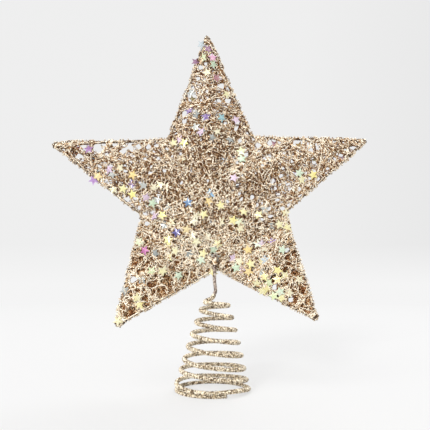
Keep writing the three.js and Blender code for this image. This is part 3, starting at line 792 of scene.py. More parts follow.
OUTER_CORNERS = np.array([
    star_corner(radius, 2 * i + valley, stray[i])
    for i in range(STAR_POINTS)
    for valley, radius, stray in ((0, STAR_TIP_RADIUS, TIP_STRAY), (1, STAR_VALLEY_RADIUS, VALLEY_STRAY))
])
CORNERS = inset(OUTER_CORNERS, OUTLINE_WIRE_RADIUS)
NEXT_CORNERS = np.roll(CORNERS, -1, axis=0)
EDGE_ALONG = unit(NEXT_CORNERS - CORNERS)
EDGE_OUTWARD = np.stack([-EDGE_ALONG[:, 1], EDGE_ALONG[:, 0]], axis=-1)
EDGE_REACH = np.sum((CORNERS - STAR_CENTRE) * EDGE_OUTWARD, axis=1)
WEDGES = np.linalg.inv(np.stack([CORNERS - STAR_CENTRE, NEXT_CORNERS - STAR_CENTRE], axis=-1))


def edge_bow(edges, share):
    """How far the outline wire lies outside the straight edge, a share of the way along it"""
    from_tip = np.where(edges % 2, 1 - share, share) / BOW_PEAK
    from_valley = 1 / BOW_PEAK - from_tip
    near_tip = np.array(TIP_BOWS)[edges] * from_tip * np.exp(1 - from_tip)
    return near_tip + np.array(VALLEY_BOWS)[edges] * from_valley * np.exp(1 - from_valley)


def edge_places(edges, share):
    """Places on the outline: the edge, and the share of the way along it from its first corner"""
    straight = CORNERS[edges] + (NEXT_CORNERS[edges] - CORNERS[edges]) * share[:, None]
    return straight + EDGE_OUTWARD[edges] * edge_bow(edges, share)[:, None]


def rounded_outline():
    """The outline wire's middle: bent round at each valley, pinched to a point at each tip"""
    made = []
    lengths = np.linalg.norm(NEXT_CORNERS - CORNERS, axis=1)
    for i, corner in enumerate(CORNERS):
        bend, next_bend = (VALLEY_BEND, TIP_PINCH) if i % 2 else (TIP_PINCH, VALLEY_BEND)
        run = np.linspace(bend / lengths[i], 1 - next_bend / lengths[i], OUTLINE_RUN_POINTS)
        run = edge_places(np.full(OUTLINE_RUN_POINTS, i), run)
        before = edge_places(np.array([i - 1]) % len(CORNERS), 1 - bend / lengths[[i - 1]])[0]
        after = run[0]
        drawn = corner
        if i % 2 == 0:
            apex = corner + unit(corner - STAR_CENTRE) * TIP_REACH
            drawn = 2 * apex - (before + after) / 2
        share = np.linspace(0, 1, OUTLINE_BEND_POINTS)[:, None]
        made.append((1 - share)**2 * before + 2 * share * (1 - share) * drawn + share**2 * after)
        made.append(run[1:-1])
    corners = np.vstack([*made, made[0][:1]])
    lengths = np.concatenate([[0], np.cumsum(np.linalg.norm(np.diff(corners, axis=0), axis=1))])
    samples = np.linspace(0, lengths[-1], int(lengths[-1] / OUTLINE_STEP))
    flat = [np.interp(samples, lengths, corners[:, k]) for k in (0, 1)]
    return np.stack([flat[0], np.zeros_like(samples), flat[1]], axis=-1)


def build_outline():
    points = rounded_outline()
    stations = np.arange(len(points), dtype=float)
    wrap, wrap_stations = wound_thread(points, stations, OUTLINE_WRAP_PITCH, OUTLINE_CORE_RADIUS)
    shape = Shape()
    shape.tubes(points[None], OUTLINE_CORE_RADIUS, 8, tone=0.1)
    waver = np.sin(wrap_stations * 2.3) * np.sin(wrap_stations * 0.71)
    tone = 0.5 + 0.28 * waver
    shape.tubes(wrap[None], (OUTLINE_WRAP_RADIUS * (1 + 0.15 * waver))[None], 4, tone=tone[None])
    piece = shape.piece("outline_wound", OUTLINE_FINISH)
    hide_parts(*(f"outline_{arm}_{side}" for arm in ARMS for side in "ab"))
    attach(piece, "star")


def build_tip_windings():
    """Turns of thread that bind the two runs of wire together at each tip"""
    shape = Shape()
    for arm, width in enumerate(TIP_WIDTHS):
        inward = unit(STAR_CENTRE - CORNERS[2 * arm])
        sideways = np.array((-inward[1], inward[0]))
        share = np.linspace(0, 1, TIP_WINDS * 10)
        angles = share * TIP_WINDS * TURN
        waver = 1 + 0.12 * np.sin(share * rng.uniform(30, 60) + rng.uniform(0, TURN))
        half = (width + (TIP_WINDING_WIDTH - width) * share) * waver
        flat = CORNERS[2 * arm] + inward * (share * TIP_WINDING_LENGTH - TIP_REACH)[:, None]
        flat = flat + sideways * (half * np.cos(angles))[:, None]
        deep = np.interp(share, (0, 1), TIP_WINDING_DEPTHS) * waver * np.sin(angles)
        path = np.stack([flat[:, 0], deep, flat[:, 1]], axis=-1)
        tone = 0.3 + 0.4 * np.sin(share * rng.uniform(18, 30))
        shape.tubes(path[None], TIP_THREAD_RADIUS, 4, tone=tone[None])
    piece = shape.piece("tip_windings", OUTLINE_FINISH)
    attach(piece, "star")


# Folded sheets of thread


def wedge_weights(places):
    """Which of the star's ten wedges each place lies in, and its share towards that wedge's two corners"""
    weights = np.einsum("wij,...j->...wi", WEDGES, places - STAR_CENTRE)
    wedge = np.argmax(weights.min(axis=-1), axis=-1)
    return wedge, np.take_along_axis(weights, wedge[..., None, None], axis=-2)[..., 0, :]


def inward_share(places):
    """0 on the outline, 1 in the middle of the star, below 0 outside"""
    return 1 - wedge_weights(places)[1].sum(axis=-1)


def sheet_depth(places):
    return np.maximum(RIM_DEPTH + WEB_RISE * inward_share(places), OUTLINE_WIRE_RADIUS)


def keep_inside(places, least):
    """Places outside the outline are drawn in towards the star's middle"""
    wedge, weights = wedge_weights(places)
    total = weights.sum(axis=-1)
    limit = 1 - least + edge_bow(wedge, weights[..., 1] / total) / EDGE_REACH[wedge]
    drawn = STAR_CENTRE + (places - STAR_CENTRE) * (limit / total)[..., None]
    return np.where((total > limit)[..., None], drawn, places)


CAMERA = np.array(CAMERA_PLACE) / MM - AXIS_SHIFT


def photo_rays(pixels):
    """Directions from the camera through pixels of the photograph"""
    pixels = np.asarray(pixels, dtype=float)
    right = (pixels[:, 0] - PHOTO_SIZE / 2) / PHOTO_FOCAL
    up = (PHOTO_SIZE / 2 - pixels[:, 1]) / PHOTO_FOCAL
    level = np.cos(CAMERA_PITCH) - up * np.sin(CAMERA_PITCH)
    rise = np.sin(CAMERA_PITCH) + up * np.cos(CAMERA_PITCH)
    return np.stack([right, level, rise], axis=-1)


def photo_places(pixels, facing, offset=0.0):
    """Where the camera's rays meet a sheet: facing -1 for the front one, 1 for the back one"""
    rays = photo_rays(pixels)
    depth = np.full(len(rays), RAY_DEPTH)
    for _ in range(RAY_TRIES):
        reach = (facing * (depth + offset) - CAMERA[1]) / rays[:, 1]
        hit = CAMERA + rays * reach[:, None]
        depth = sheet_depth(hit[:, (0, 2)])
    return hit[:, (0, 2)]


def photo_pixels(places, facing):
    """Where places on a sheet show in the photograph"""
    sight = np.insert(places, 1, facing * sheet_depth(places), axis=1) - CAMERA
    ahead = sight[:, 1] * math.cos(CAMERA_PITCH) + sight[:, 2] * math.sin(CAMERA_PITCH)
    up = sight[:, 2] * math.cos(CAMERA_PITCH) - sight[:, 1] * math.sin(CAMERA_PITCH)
    offsets = np.stack([sight[:, 0], -up], axis=-1) / ahead[:, None]
    return PHOTO_SIZE / 2 + PHOTO_FOCAL * offsets


def chance_gaps(count, radii, density):
    """Small windows that are too many to read in the photograph, as pixels and radii, clear of those read"""
    spots = photo_pixels(scatter(count, density), -1)
    taken = np.array(CLEAR_GAPS_PX + SHADED_GAPS_PX)
    made = []
    for x, y, radius in zip(*spots.T, rng.uniform(*radii, count)):
        if np.all(np.hypot(taken[:, 0] - x, taken[:, 1] - y) > taken[:, 2] + radius + WINDOWS_APART_PX):
            made.append((x, y, radius))
            taken = np.vstack([taken, made[-1]])
    return np.array(made)


def upper_arms(places):
    return smoothstep(places[:, 1], 105, 128) * (1 - 0.85 * smoothstep(inward_share(places), 0.25, 0.6))


def lower_arms(places):
    return (1 - smoothstep(places[:, 1], 66, 92)) * (1 - 0.8 * smoothstep(inward_share(places), 0.25, 0.5))


def lower_half(places):
    return 1 - 0.85 * smoothstep(places[:, 1], 100, 130)


def gap_discs(facing, *lists):
    """Windows of one sheet, as places and radii"""
    read = np.vstack(lists)
    places = photo_places(read[:, :2], facing)
    distance = -CAMERA_PLACE[1] / MM + facing * sheet_depth(places)
    return places, read[:, 2] * distance / PHOTO_FOCAL * GAP_SHARE


def scatter(count, density):
    """Places strewn evenly inside the outline, kept by a density between 0 and 1"""
    low, high = OUTER_CORNERS.min(axis=0), OUTER_CORNERS.max(axis=0)
    kept = np.empty((0, 2))
    while len(kept) < count:
        steps = rng.uniform(size=2) + np.arange(4 * count)[:, None] * EVEN_STEPS
        spots = low + steps % 1 * (high - low) + rng.normal(0, STREWN, (4 * count, 2))
        wanted = (inward_share(spots) > 0.01) & (rng.uniform(size=len(spots)) < density(spots))
        kept = np.vstack([kept, spots[wanted]])
    return kept[:count]


def clear_of(places, gaps):
    """Numbers of the threads that pass every window by"""
    passing = np.arange(len(places))
    for (x, z), radius in zip(*gaps):
        apart = (places[passing, :, 0] - x)**2 + (places[passing, :, 1] - z)**2
        passing = passing[apart.min(axis=1) > radius**2]
    return passing


def thread_tone(places, base):
    """Light and dark lengths, and the broad regions of the star that are browner or paler; painted light
    makes the low middle and foot paler and painted shade makes the top browner
    """
    wedge, _ = wedge_weights(places)
    x = places[..., 0]
    z = places[..., 1]
    painted_light_low_middle = smoothstep(-np.hypot(x / 34, (z - 93) / 20), -1.2, -0.2)
    left_valley = smoothstep(-np.hypot(x + 40, z - 94) / 16, -1.2, -0.3)
    right_arm = ((wedge == 1) | (wedge == 2)) * smoothstep(x, 15, 50)
    lower_right_arm = ((wedge == 3) | (wedge == 4)) * smoothstep(-z, -112, -95)
    lower_left_arm = ((wedge == 5) | (wedge == 6)) * smoothstep(-z, -112, -90)
    # Painted light in the low middle and foot
    paler = PALE_ALL + PAINTED_LIGHT_LOW_MIDDLE * painted_light_low_middle
    paler += PALE_RIGHT * right_arm + PALE_LOWER_LEFT * lower_left_arm
    paler += PALE_ARMS * smoothstep(-inward_share(places), -0.5, -0.2) + PAINTED_LIGHT_BELOW * smoothstep(-z, -98, -75)
    browner = BROWN_LEFT_VALLEY * left_valley + BROWN_LOWER_RIGHT * lower_right_arm
    # Painted shade over the top
    browner += PAINTED_SHADE_TOP * smoothstep(z, 110, 145) + BROWN_TIP * smoothstep(z, 205, 235)
    return base + paler - browner


def add_threads(shape, places, facing, offsets, radii, tones, sides=4, ends=None):
    """Threads that lie on a sheet; ends, where given, are points that finish them off round the outline"""
    depth = facing * (sheet_depth(places) + offsets)
    paths = np.stack([places[..., 0], depth, places[..., 1]], axis=-1)
    tones = thread_tone(places, tones)
    if ends is not None:
        paths = np.concatenate([ends[0], paths, ends[1]], axis=1)
        lead = np.repeat(tones[:, :1] + EDGE_PALER, ends[0].shape[1], axis=1)
        trail = np.repeat(tones[:, -1:] + EDGE_PALER, ends[1].shape[1], axis=1)
        tones = np.concatenate([lead, tones, trail], axis=1)
    shape.tubes(paths, radii[:, None], sides, tone=tones)


def round_edge(places, edges, facing):
    """Points that carry a thread from behind the outline wire round its outside onto a sheet"""
    outward = EDGE_OUTWARD[edges]
    reach = OUTLINE_WIRE_RADIUS * rng.uniform(*EDGE_WRAP_REACH, len(places))
    points = []
    for turn in EDGE_WRAP_ANGLES:
        flat = places + outward * (reach * math.sin(turn))[:, None]
        deep = facing * reach * math.cos(turn)
        points.append(np.stack([flat[:, 0], deep, flat[:, 1]], axis=-1))
    return np.stack(points, axis=1)


def edge_threads(shape, count, first, last, facing, steps, sides, levels, sway, tone, gaps):
    """Threads drawn from one place on the outline to another; each place is an edge and a share along it"""
    starts, finishes = edge_places(*first), edge_places(*last)
    tries = len(starts)
    share = np.linspace(0.015, 0.985, steps)
    line = starts[:, None] + (finishes - starts)[:, None] * share[:, None]
    across = unit(finishes - starts)[:, ::-1] * (-1, 1)
    waves = 0
    for wave in (1, 2, 4, 7):
        height = rng.normal(0, sway / wave, tries)[:, None]
        waves = waves + height * np.sin(wave * math.pi * share + rng.uniform(0, TURN, tries)[:, None])
    line = keep_inside(line + across[:, None] * (waves * np.sin(math.pi * share))[..., None], 0.0)
    kept = clear_of(line, gaps)[:count]
    lift = rng.uniform(*levels, len(kept))[:, None] + rng.uniform(0.1, 0.4, len(kept))[:, None] * np.sin(
        share * rng.uniform(8, 30, len(kept))[:, None] + rng.uniform(0, TURN, len(kept))[:, None]
    )
    radii = rng.uniform(*THREAD_RADIUS, len(kept))
    tones = rng.normal(tone, TONE_SPREAD, len(kept))
    ends = None
    if tone > 0.5:
        tones, radii = some_darker(tones, radii, line[kept][:, steps // 2])
        ends = (
            round_edge(starts[kept], first[0][kept], facing),
            round_edge(finishes[kept], last[0][kept], facing)[:, ::-1],
        )
    add_threads(shape, line[kept], facing, lift, radii, tones[:, None], sides, ends)


def side_by_side(values, spacing):
    """Each value several times over, a little apart, as threads that were wound one beside the other"""
    steps = rng.uniform(0.3, 1, len(values)) * spacing * rng.choice((-1, 1), len(values))
    return (values[:, None] + steps[:, None] * np.arange(BUNDLE)).reshape(-1)


def long_threads(shape, count, facing, levels, tone, gaps):
    """Threads wound right across the star, where the straight way stays inside its outline"""
    tries = LONG_TRIES * count // BUNDLE
    ends = []
    for _ in range(2):
        edges = np.repeat(rng.integers(0, 2 * STAR_POINTS, tries), BUNDLE)
        ends.append((edges, np.clip(side_by_side(rng.uniform(0.02, 0.98, tries), 0.03), 0.01, 0.99)))
    starts, finishes = (edge_places(*end) for end in ends)
    tests = starts[:, None] + (finishes - starts)[:, None] * np.linspace(0.03, 0.97, 24)[:, None]
    inside = (inward_share(tests).min(axis=1) > 0.004) & (ends[0][0] != ends[1][0])
    first, last = ((edges[inside], share[inside]) for edges, share in ends)
    edge_threads(shape, count, first, last, facing, 60, 3, levels, 0.9, tone, gaps)


def arm_threads(shape, arm, count, facing, levels, tone, gaps):
    """Threads wound across one arm from edge to edge, closer together towards its tip"""
    tries = ARM_TRIES * count // BUNDLE
    tip_edge = 2 * arm
    before = (tip_edge - 1) % (2 * STAR_POINTS)
    share = side_by_side(rng.beta(1.1, 1.3, tries), 0.03)
    slant = np.repeat(rng.normal(0, 0.16, tries), BUNDLE)
    first = np.full(len(share), before), np.clip(1 - share + slant, 0.02, 0.985)
    last = np.full(len(share), tip_edge), np.clip(share + slant, 0.015, 0.98)
    edge_threads(shape, count, first, last, facing, 26, 4, levels, 0.7, tone, gaps)


def curled_threads(shape, starts, facing, levels, length, tone, gaps, sides=4, steps=9):
    """Short lengths that curl on the sheet, as loose turns of the thread do"""
    count = len(starts)
    heading = rng.uniform(0, TURN, count)[:, None]
    bend = rng.normal(0, 0.26, count)[:, None]
    wobble = rng.normal(0, 0.22, (count, steps))
    angles = heading + np.cumsum(bend + wobble, axis=1)
    step = rng.uniform(*length, count)[:, None, None] / steps
    moves = np.stack([np.cos(angles), np.sin(angles)], axis=-1) * step
    places = starts[:, None] + np.cumsum(moves, axis=1) - moves.sum(axis=1, keepdims=True) / 2
    places = keep_inside(places, 0.0)
    places = places[clear_of(places, gaps)]
    count = len(places)
    offsets = rng.uniform(*levels, count)
    share = np.linspace(0, 1, steps)
    over = rng.uniform(0.2, 0.7, count)[:, None] * np.sin(
        share * rng.uniform(3, 9, count)[:, None] + rng.uniform(0, TURN, count)[:, None]
    )
    radii = rng.uniform(*THREAD_RADIUS, count)
    # Painted shade: deeper threads are drawn darker and higher ones paler
    tones = rng.normal(tone, TONE_SPREAD, count) + 0.10 * (offsets - np.mean(levels))
    if tone > 0.5:
        tones, radii = some_darker(tones, radii, places[:, steps // 2])
    add_threads(shape, places, facing, offsets[:, None] + over, radii, tones[:, None], sides)


def round_windows(gaps, count, low, high):
    """Places by chance round the middle of each window, from a low to a high share of its radius away"""
    middles, radii = (np.repeat(part, count, axis=0) for part in gaps)
    angles = rng.uniform(0, TURN, len(radii))
    away = np.stack([np.cos(angles), np.sin(angles)], axis=-1)
    return middles + away * (radii * rng.uniform(low, high, len(radii)))[:, None]


def some_darker(tones, radii, places):
    """A share of the outer threads, smaller in the lower arms, is dark and thin"""
    dark = rng.uniform(size=len(tones)) < DARK_SHARE * (1 - FEWER_DARK * lower_arms(places))
    return tones - DARK_DROP * dark, radii * np.where(dark, 0.8, 1.0)


def bundle_threads(shape):
    """Brown threads that run together over the front sheet"""
    for count, corners in BUNDLES_PX:
        places = through(photo_places(corners, -1, WEB_THICKNESS), 8)
        across = unit(np.gradient(places, axis=0))[:, ::-1] * (-1, 1)
        spread = np.linspace(-0.5, 0.5, count)[:, None] * count * 0.62
        share = np.linspace(0, 1, len(places))
        pace = rng.uniform(5, 14, count)[:, None]
        waves = 0.5 * np.sin(share * pace + rng.uniform(0, TURN, count)[:, None])
        lines = keep_inside(places + across * (spread + waves)[..., None], 0.0)
        level = rng.uniform(*BUNDLE_LEVELS, count)[:, None]
        lift = level + 0.3 * np.sin(share * 17 + rng.uniform(0, TURN, count)[:, None])
        radii = rng.uniform(*THREAD_RADIUS, count)
        add_threads(shape, lines, -1, lift, radii, rng.uniform(0.15, 0.45, count)[:, None])


def arm_of(places):
    """The arm that each place belongs to: the kite from the middle to that arm's two valleys"""
    wedge, _ = wedge_weights(places)
    return ((wedge + 1) // 2) % STAR_POINTS


def web_density(places):
    least = 0.6 + 0.25 * (1 - smoothstep(places[:, 1], 66, 92))
    return least + (1 - least) * smoothstep(inward_share(places), 0.15, 0.5)


def build_web(side, facing, gaps, hollows=None, openings=None):
    """One sheet: brown inner threads, browner partly as painted shade for the sheet's depth, long threads
    over them, then the arms' own turns and curls
    """
    inner = Shape()
    long_threads(inner, INNER_LONG_THREADS, facing, INNER_LONG_LEVELS, INNER_SHADED_TONE, gaps)
    low = Shape()
    spots = scatter(INNER_CURLS, web_density)
    curled_threads(low, spots, facing, INNER_CURL_LEVELS, INNER_CURL_LENGTHS, INNER_SHADED_TONE, gaps, sides=3)
    outer = Shape()
    long_threads(outer, OUTER_LONG_THREADS, facing, OUTER_LONG_LEVELS, OUTER_TONE, gaps)
    if side == "front":
        bundle_threads(outer)
        # Dark threads in each shaded window, painted shade for its hollow
        behind = round_windows(hollows, THREADS_IN_WINDOW, 0.0, 0.9)
        curled_threads(low, behind, facing, HOLLOW_LEVELS, HOLLOW_CURL_LENGTHS, HOLLOW_PAINTED_SHADE_TONE, openings)
    spots = scatter(OUTER_CURLS, web_density), scatter(MORE_BELOW, lower_arms)
    spots = np.vstack([*spots, round_windows(gaps, THREADS_BESIDE_WINDOW, 1.2, 2.2)])
    for arm, label in enumerate(ARMS):
        arm_threads(low, arm, INNER_ARM_THREADS, facing, INNER_ARM_LEVELS, INNER_SHADED_TONE, gaps)
        shape = Shape()
        arm_threads(shape, arm, OUTER_ARM_THREADS, facing, OUTER_ARM_LEVELS, OUTER_TONE, gaps)
        near = spots[arm_of(spots) == arm]
        curled_threads(shape, near, facing, OUTER_CURL_LEVELS, OUTER_CURL_LENGTHS, OUTER_TONE, gaps)
        piece = shape.piece(f"{side}_threads_{label}", THREAD_FINISH)
        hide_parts(f"{side}_web_{label}")
        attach(piece, "star")
    layers = (
        (inner, "inner_threads", INNER_SHADED_FINISH),
        (low, "inner_curls", INNER_SHADED_FINISH),
        (outer, "long_threads", THREAD_FINISH),
    )
    for shape, name, finish in layers:
        piece = shape.piece(f"{side}_{name}", finish)
        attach(piece, "star")


# Ribs and stem


def build_ribs():
    """Each rib is a thin wire with its own winding, along its CAD rib's length"""
    for side in ("front", "back"):
        for arm in ARMS:
            node = f"{side}_rib_{arm}"
            mesh = frame["nodes"][node].data
            corners = np.array([vertex.co for vertex in mesh.vertices]) / MM - AXIS_SHIFT
            middle = corners.mean(axis=0)
            along = np.linalg.svd(corners - middle, full_matrices=False)[2][0]
            reach = (corners - middle) @ along
            ends = middle + along * reach.min(), middle + along * reach.max()
            share = np.linspace(0, 1, RIB_STEPS)[:, None]
            points = ends[0] + (ends[1] - ends[0]) * share
            wrap, _ = wound_thread(points, share[:, 0], RIB_WRAP_PITCH, RIB_RADIUS * RIB_WRAP_CENTRE)
            shape = Shape()
            shape.tubes(points[None], RIB_RADIUS * RIB_CORE, 6, tone=0.3)
            shape.tubes(wrap[None], RIB_RADIUS * RIB_WRAP, 3, tone=0.5)
            piece = shape.piece(f"{side}_wound_rib_{arm}", RIB_FINISH)
            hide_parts(node)
            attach(piece, "star")


def stem_line(neck):
    """Middle of the stem, from the neck's end to its lap over the lower valley's front"""
    edge = 2 * ARMS.index("lower_right")
    valley = NEXT_CORNERS[edge]

    def depth(place):
        weights = WEDGES[edge] @ (place - STAR_CENTRE)
        inside = max(1 - weights.sum(), 0)
        slope = math.hypot(1, WEB_RISE / np.linalg.norm(STAR_CENTRE - valley))
        stand_off = (STEM_DIAMETER / 2 + BINDING_THREAD + 2 * CLEARANCE) * slope
        return RIM_DEPTH + WEB_RISE * inside + WEB_THICKNESS + stand_off

    heading = unit(neck[-1] - neck[-2])
    foot = neck[-1]
    low = valley + (STEM_TOP_OFFSET, 0)
    high = low + (0, STEM_LAP)
    low, high = (np.array((place[0], -depth(place), place[1])) for place in (low, high))
    corners = [foot, foot + heading * (STEM_DIAMETER + CLEARANCE), (foot + low) / 2, low, high]
    return through(corners, STEM_STEPS // 4), low, high


def build_stem(spring_points):
    points, low, high = stem_line(spring_points)
    share = np.linspace(0, 1, len(points))
    waver = np.sin(share * 61) * np.sin(share * 23)
    shape = Shape()
    radii = STEM_CORE_RADIUS * (1 + 0.05 * waver)
    shape.tubes(points[None], radii[None], 10, tone=(0.4 + 0.2 * waver)[None])
    wrap, stations = wound_thread(points, share, STEM_WRAP_PITCH, STEM_WRAP_CENTRE)
    tone = 0.5 + 0.3 * np.sin(stations * 47) * np.sin(stations * 19)
    shape.tubes(wrap[None], STEM_WRAP_RADIUS, 4, tone=tone[None])
    piece = shape.piece("stem_wound", STEM_SHADED_FINISH)
    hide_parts("stem_wire")
    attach(piece, "star")
    middle = (low + high) / 2
    along = unit(high - low) * BINDING_LENGTH / 2
    share = np.linspace(0, 1, BINDING_STEPS)
    line = middle - along + 2 * along * share[:, None]
    wrap, _ = wound_thread(line, share, BINDING_THREAD, STEM_DIAMETER / 2 + BINDING_THREAD)
    shape = Shape()
    shape.tubes(wrap[None], BINDING_THREAD / 2, 6, tone=0.6)
    piece = shape.piece("stem_binding_thread", THREAD_FINISH)
    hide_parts("stem_binding")
    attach(piece, "star")


# Sequins


def model_sequin():
    """One foil star, dished a little, lying flat round the world's origin; returned as points and faces"""
    deselect_all()
    reach = SEQUIN_TIP_RADIUS * MM
    bpy.ops.mesh.primitive_circle_add(vertices=2 * STAR_POINTS, radius=reach, fill_type="TRIFAN")
    sequin = bpy.context.object
    mesh = sequin.data
    bpy.ops.object.mode_set(mode="EDIT")
    bpy.ops.mesh.select_all(action="DESELECT")
    bpy.ops.object.mode_set(mode="OBJECT")
    rim = [v for v in mesh.vertices if v.co.length > reach / 2]
    for vertex in rim:
        angle = math.atan2(vertex.co.y, vertex.co.x) - math.atan2(rim[0].co.y, rim[0].co.x)
        vertex.select = round(angle / (TURN / (2 * STAR_POINTS))) % 2 == 1
    bpy.ops.object.mode_set(mode="EDIT")
    narrowing = SEQUIN_VALLEY_RADIUS / SEQUIN_TIP_RADIUS
    bpy.ops.transform.resize(value=(narrowing, narrowing, 1))
    bpy.ops.mesh.select_all(action="DESELECT")
    bpy.ops.object.mode_set(mode="OBJECT")
    for vertex in mesh.vertices:
        vertex.select = vertex.co.length < SEQUIN_VALLEY_RADIUS * MM / 2
    bpy.ops.object.mode_set(mode="EDIT")
    bpy.ops.transform.translate(value=(0, 0, SEQUIN_DISH * MM))
    bpy.ops.object.mode_set(mode="OBJECT")
    wall = sequin.modifiers.new("foil thickness", "SOLIDIFY")
    wall.thickness = SEQUIN_THICKNESS * MM
    wall.offset = 0
    bpy.ops.object.modifier_apply(modifier=wall.name)
    points = np.array([vertex.co for vertex in mesh.vertices]) / MM
    faces = {}
    for polygon in mesh.polygons:
        faces.setdefault(len(polygon.vertices), []).append(list(polygon.vertices))
    bpy.data.objects.remove(sequin)
    return points, [np.array(group) for group in faces.values()]


def sheet_normal(place, facing):
    """Direction out of a sheet at a place"""
    step = 0.5
    slope = [
        (sheet_depth(place + shift) - sheet_depth(place - shift)) / (2 * step)
        for shift in (np.array((step, 0)), np.array((0, step)))
    ]
    return unit(np.array((-slope[0], facing * 1.0, -slope[1])))


def turned(normal, turn, tilt):
    """Three axes for a sequin: across, up and out, turned in its plane and tilted off the sheet"""
    level = unit(np.cross((0, 0, 1), normal))
    rise = np.cross(normal, level)
    lean = unit(normal + tilt[0] * level + tilt[1] * rise)
    level = unit(level - lean * (level @ lean))
    rise = np.cross(lean, level)
    return np.stack([
        math.cos(turn) * level + math.sin(turn) * rise,
        -math.sin(turn) * level + math.cos(turn) * rise,
        lean,
    ])


def node_place(node):
    """Centre and axes of a CAD sequin, worked out from its mesh"""
    corners = np.array([vertex.co for vertex in frame["nodes"][node].data.vertices]) / MM - AXIS_SHIFT
    corners = np.unique(corners.round(4), axis=0)
    centre = corners.mean(axis=0)
    out = np.linalg.svd(corners - centre, full_matrices=False)[2][2]
    out = out * (-1 if out[1] > 0 else 1)
    flat = corners - centre
    flat = flat - np.outer(flat @ out, out)
    tip = unit(flat[np.argmax(np.linalg.norm(flat, axis=1))])
    return centre, np.stack([tip, np.cross(out, tip), out])


def build_sequins():
    points, faces = model_sequin()
    tip = unit(points[np.argmax(np.linalg.norm(points, axis=1))])
    straighten = math.atan2(tip[1], tip[0])
    finishes = {name: foil_material(f"{name} foil", *colours[:2]) for name, colours in FOILS.items()}
    record_foil = {row["node"]: row["material_slot"] for row in frame["record"]["subparts"]}
    named = {"foil_yellow": "yellow", "foil_mint": "mint", "foil_lilac": "lilac", "foil_silver": "silver",
             "foil_gold": "gold", "foil_blue": "indigo", "foil_pink": "pink"}
    turn = np.array((math.cos(straighten), math.sin(straighten)))
    upright = points.copy()
    upright[:, 0] = points[:, 0] * turn[0] + points[:, 1] * turn[1]
    upright[:, 1] = points[:, 1] * turn[0] - points[:, 0] * turn[1]
    spots = photo_places([row[:2] for row in SEQUINS_PX], -1, WEB_THICKNESS)
    taken = []
    for number in range(1, SEQUIN_COUNT + 1):
        node = f"sequin_{number:02d}"
        centre, axes = node_place(node)
        taken.append(centre[[0, 2]])
        shape = Shape()
        shape.add(upright @ axes + centre, faces, tone=rng.uniform(0.1, 0.7))
        slot = record_foil[node]
        near = SEQUINS_PX[np.argmin(np.linalg.norm(spots - taken[-1], axis=1))][2]
        foil = near if FOILS[near][2] == slot else named[slot]
        piece = shape.piece(f"foil_star_{number:02d}", finishes[foil], smooth=False)
        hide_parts(node)
        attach(piece, "star")
    groups = {}
    apart = np.min(np.linalg.norm(spots[:, None] - np.array(taken), axis=-1), axis=1)
    for spot, (_, _, foil), distance in zip(spots, SEQUINS_PX, apart):
        if distance > SEQUIN_TIP_RADIUS:
            groups.setdefault(("front", foil), []).append((spot, -1))
    chance = scatter(CHANCE_SEQUINS, lower_half)
    for spot, foil in zip(chance, rng.choice(CHANCE_FOILS, len(chance))):
        groups.setdefault(("sunk", str(foil)), []).append((spot, -1))
    back = scatter(BACK_SEQUINS, lambda places: np.ones(len(places)))
    for spot, foil in zip(back, rng.choice(BACK_FOILS, len(back))):
        groups.setdefault(("back", str(foil)), []).append((spot, 1))
    for (side, foil), rows in groups.items():
        shape = Shape()
        for spot, facing in rows:
            tilt = rng.normal(0, math.tan(SEQUIN_TILT), 2)
            axes = turned(sheet_normal(spot, facing), rng.uniform(0, TURN), tilt)
            sunk = foil in SUNK_FOILS or side == "sunk" and rng.uniform() < 0.5
            lift = rng.uniform(*(SUNK_LIFT if sunk else LOOSE_LIFT))
            depth = facing * (sheet_depth(spot) + WEB_THICKNESS + lift)
            centre = np.array((spot[0], depth, spot[1]))
            shape.add(upright @ axes + centre, faces, tone=rng.uniform(0.0, 0.9))
        piece = shape.piece(f"{side}_foil_stars_{foil}", finishes[foil], smooth=False)
        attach(piece, "star")


# Stage, light and camera


def build_stage():
    deselect_all()
    bpy.ops.mesh.primitive_plane_add(size=FLOOR_SIZE)
    floor = bpy.context.object
    floor.name = "floor"
    material, tree, shader = start_material("pale floor")
    shader.inputs["Base Color"].default_value = linear_rgb((FLOOR_GREY,) * 3)
    shader.inputs["Roughness"].default_value = 0.9
    shader.inputs["Specular IOR Level"].default_value = 0.1
    place = tree.nodes.new("ShaderNodeTexCoord")
    away = tree.nodes.new("ShaderNodeVectorMath")
    away.operation = "LENGTH"
    tree.links.new(place.outputs["Object"], away.inputs[0])
    far = map_range(tree, away.outputs["Value"], *FLOOR_FADE, 0.0, 1.0)
    share = map_range(tree, far, 0.0, 1.0, SHADOW_SOFTENING, 1.0)
    faded = maths(tree, "MULTIPLY", share, seen_rays(tree))
    haze = tree.nodes.new("ShaderNodeEmission")
    colours = colour_nodes(tree, ((level,) * 3 for level in (FLOOR_NEAR, BACKDROP_LOW)))
    tree.links.new(mix_colour(tree, far, *colours), haze.inputs["Color"])
    mix = tree.nodes.new("ShaderNodeMixShader")
    tree.links.new(faded, mix.inputs["Fac"])
    tree.links.new(shader.outputs["BSDF"], mix.inputs[1])
    tree.links.new(haze.outputs["Emission"], mix.inputs[2])
    tree.links.new(mix.outputs["Shader"], tree.nodes["Material Output"].inputs["Surface"])
    floor.data.materials.append(material)


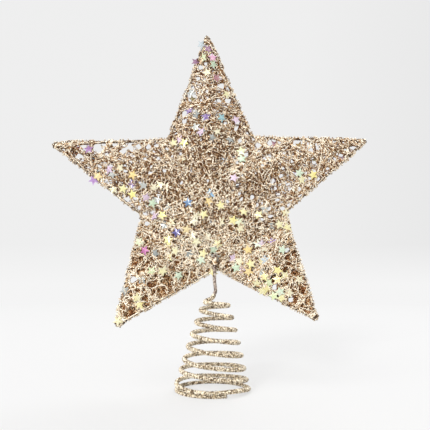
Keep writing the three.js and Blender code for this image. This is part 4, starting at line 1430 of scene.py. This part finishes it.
def build_world():
    """Even light, and for what is seen straight or in a gloss a pale grey that brightens to the floor, with
    the light's fall-off upward and to the right painted in
    """
    world = bpy.data.worlds.new("studio")
    bpy.context.scene.world = world
    world.use_nodes = True
    tree = world.node_tree
    tree.nodes.clear()
    place = tree.nodes.new("ShaderNodeTexCoord")
    parts = tree.nodes.new("ShaderNodeSeparateXYZ")
    tree.links.new(place.outputs["Generated"], parts.inputs["Vector"])
    low = map_range(tree, parts.outputs["Z"], *BACKDROP_RISE, 0.0, 1.0)
    sideways = map_range(tree, parts.outputs["X"], *BACKDROP_SIDEWAYS, 0.0, 1.0)
    colours = colour_nodes(tree, ((level,) * 3 for level in (BACKDROP_LOW, *BACKDROP_HIGH)))
    high = mix_colour(tree, sideways, colours[1], colours[2])
    seen = mix_colour(tree, low, colours[0], high)
    direct = seen_rays(tree)
    light = tree.nodes.new("ShaderNodeBackground")
    light.inputs["Color"].default_value = (1, 1, 1, 1)
    light.inputs["Strength"].default_value = WORLD_LIGHT
    backdrop = tree.nodes.new("ShaderNodeBackground")
    tree.links.new(seen, backdrop.inputs["Color"])
    mix = tree.nodes.new("ShaderNodeMixShader")
    tree.links.new(direct, mix.inputs["Fac"])
    tree.links.new(light.outputs["Background"], mix.inputs[1])
    tree.links.new(backdrop.outputs["Background"], mix.inputs[2])
    output = tree.nodes.new("ShaderNodeOutputWorld")
    tree.links.new(mix.outputs["Shader"], output.inputs["Surface"])


def add_sun(name, azimuth, elevation, strength, angle):
    lamp = bpy.data.lights.new(name, "SUN")
    lamp.energy = strength
    lamp.angle = math.radians(angle)
    sun = bpy.data.objects.new(name, lamp)
    bpy.context.scene.collection.objects.link(sun)
    a, e = math.radians(azimuth), math.radians(elevation)
    towards = Vector((-math.sin(a) * math.cos(e), math.cos(a) * math.cos(e), -math.sin(e)))
    sun.rotation_euler = towards.to_track_quat("-Z", "Y").to_euler()


def build_camera():
    lens = bpy.data.cameras.new("camera")
    lens.sensor_width = SENSOR_WIDTH
    lens.lens = SENSOR_WIDTH * PHOTO_FOCAL / PHOTO_SIZE
    lens.clip_start = 0.01
    camera = bpy.data.objects.new("camera", lens)
    bpy.context.scene.collection.objects.link(camera)
    camera.location = CAMERA_PLACE
    camera.rotation_euler = (math.pi / 2 + CAMERA_PITCH, 0, 0)
    bpy.context.scene.camera = camera


build_camera()
build_stage()
build_world()
add_sun("key light", azimuth=-32, elevation=50, strength=1.1, angle=50)
add_sun("front light", azimuth=-22, elevation=20, strength=1.82, angle=15)
add_sun("back light", azimuth=150, elevation=35, strength=1.3, angle=60)
bpy.context.scene.view_settings.view_transform = "Standard"
spring_points = build_spring()
build_stem(spring_points)
build_outline()
build_tip_windings()
build_ribs()
small_gaps = chance_gaps(*SMALL_GAPS, upper_arms)
small_hollows = chance_gaps(*SMALL_HOLLOWS, lower_arms)
clear = (CLEAR_GAPS_PX, small_gaps)
shaded = (SHADED_GAPS_PX, small_hollows)
build_web("front", -1, gap_discs(-1, *clear, *shaded), gap_discs(-1, *shaded), gap_discs(-1, *clear))
build_web("back", 1, gap_discs(1, *clear))
build_sequins()
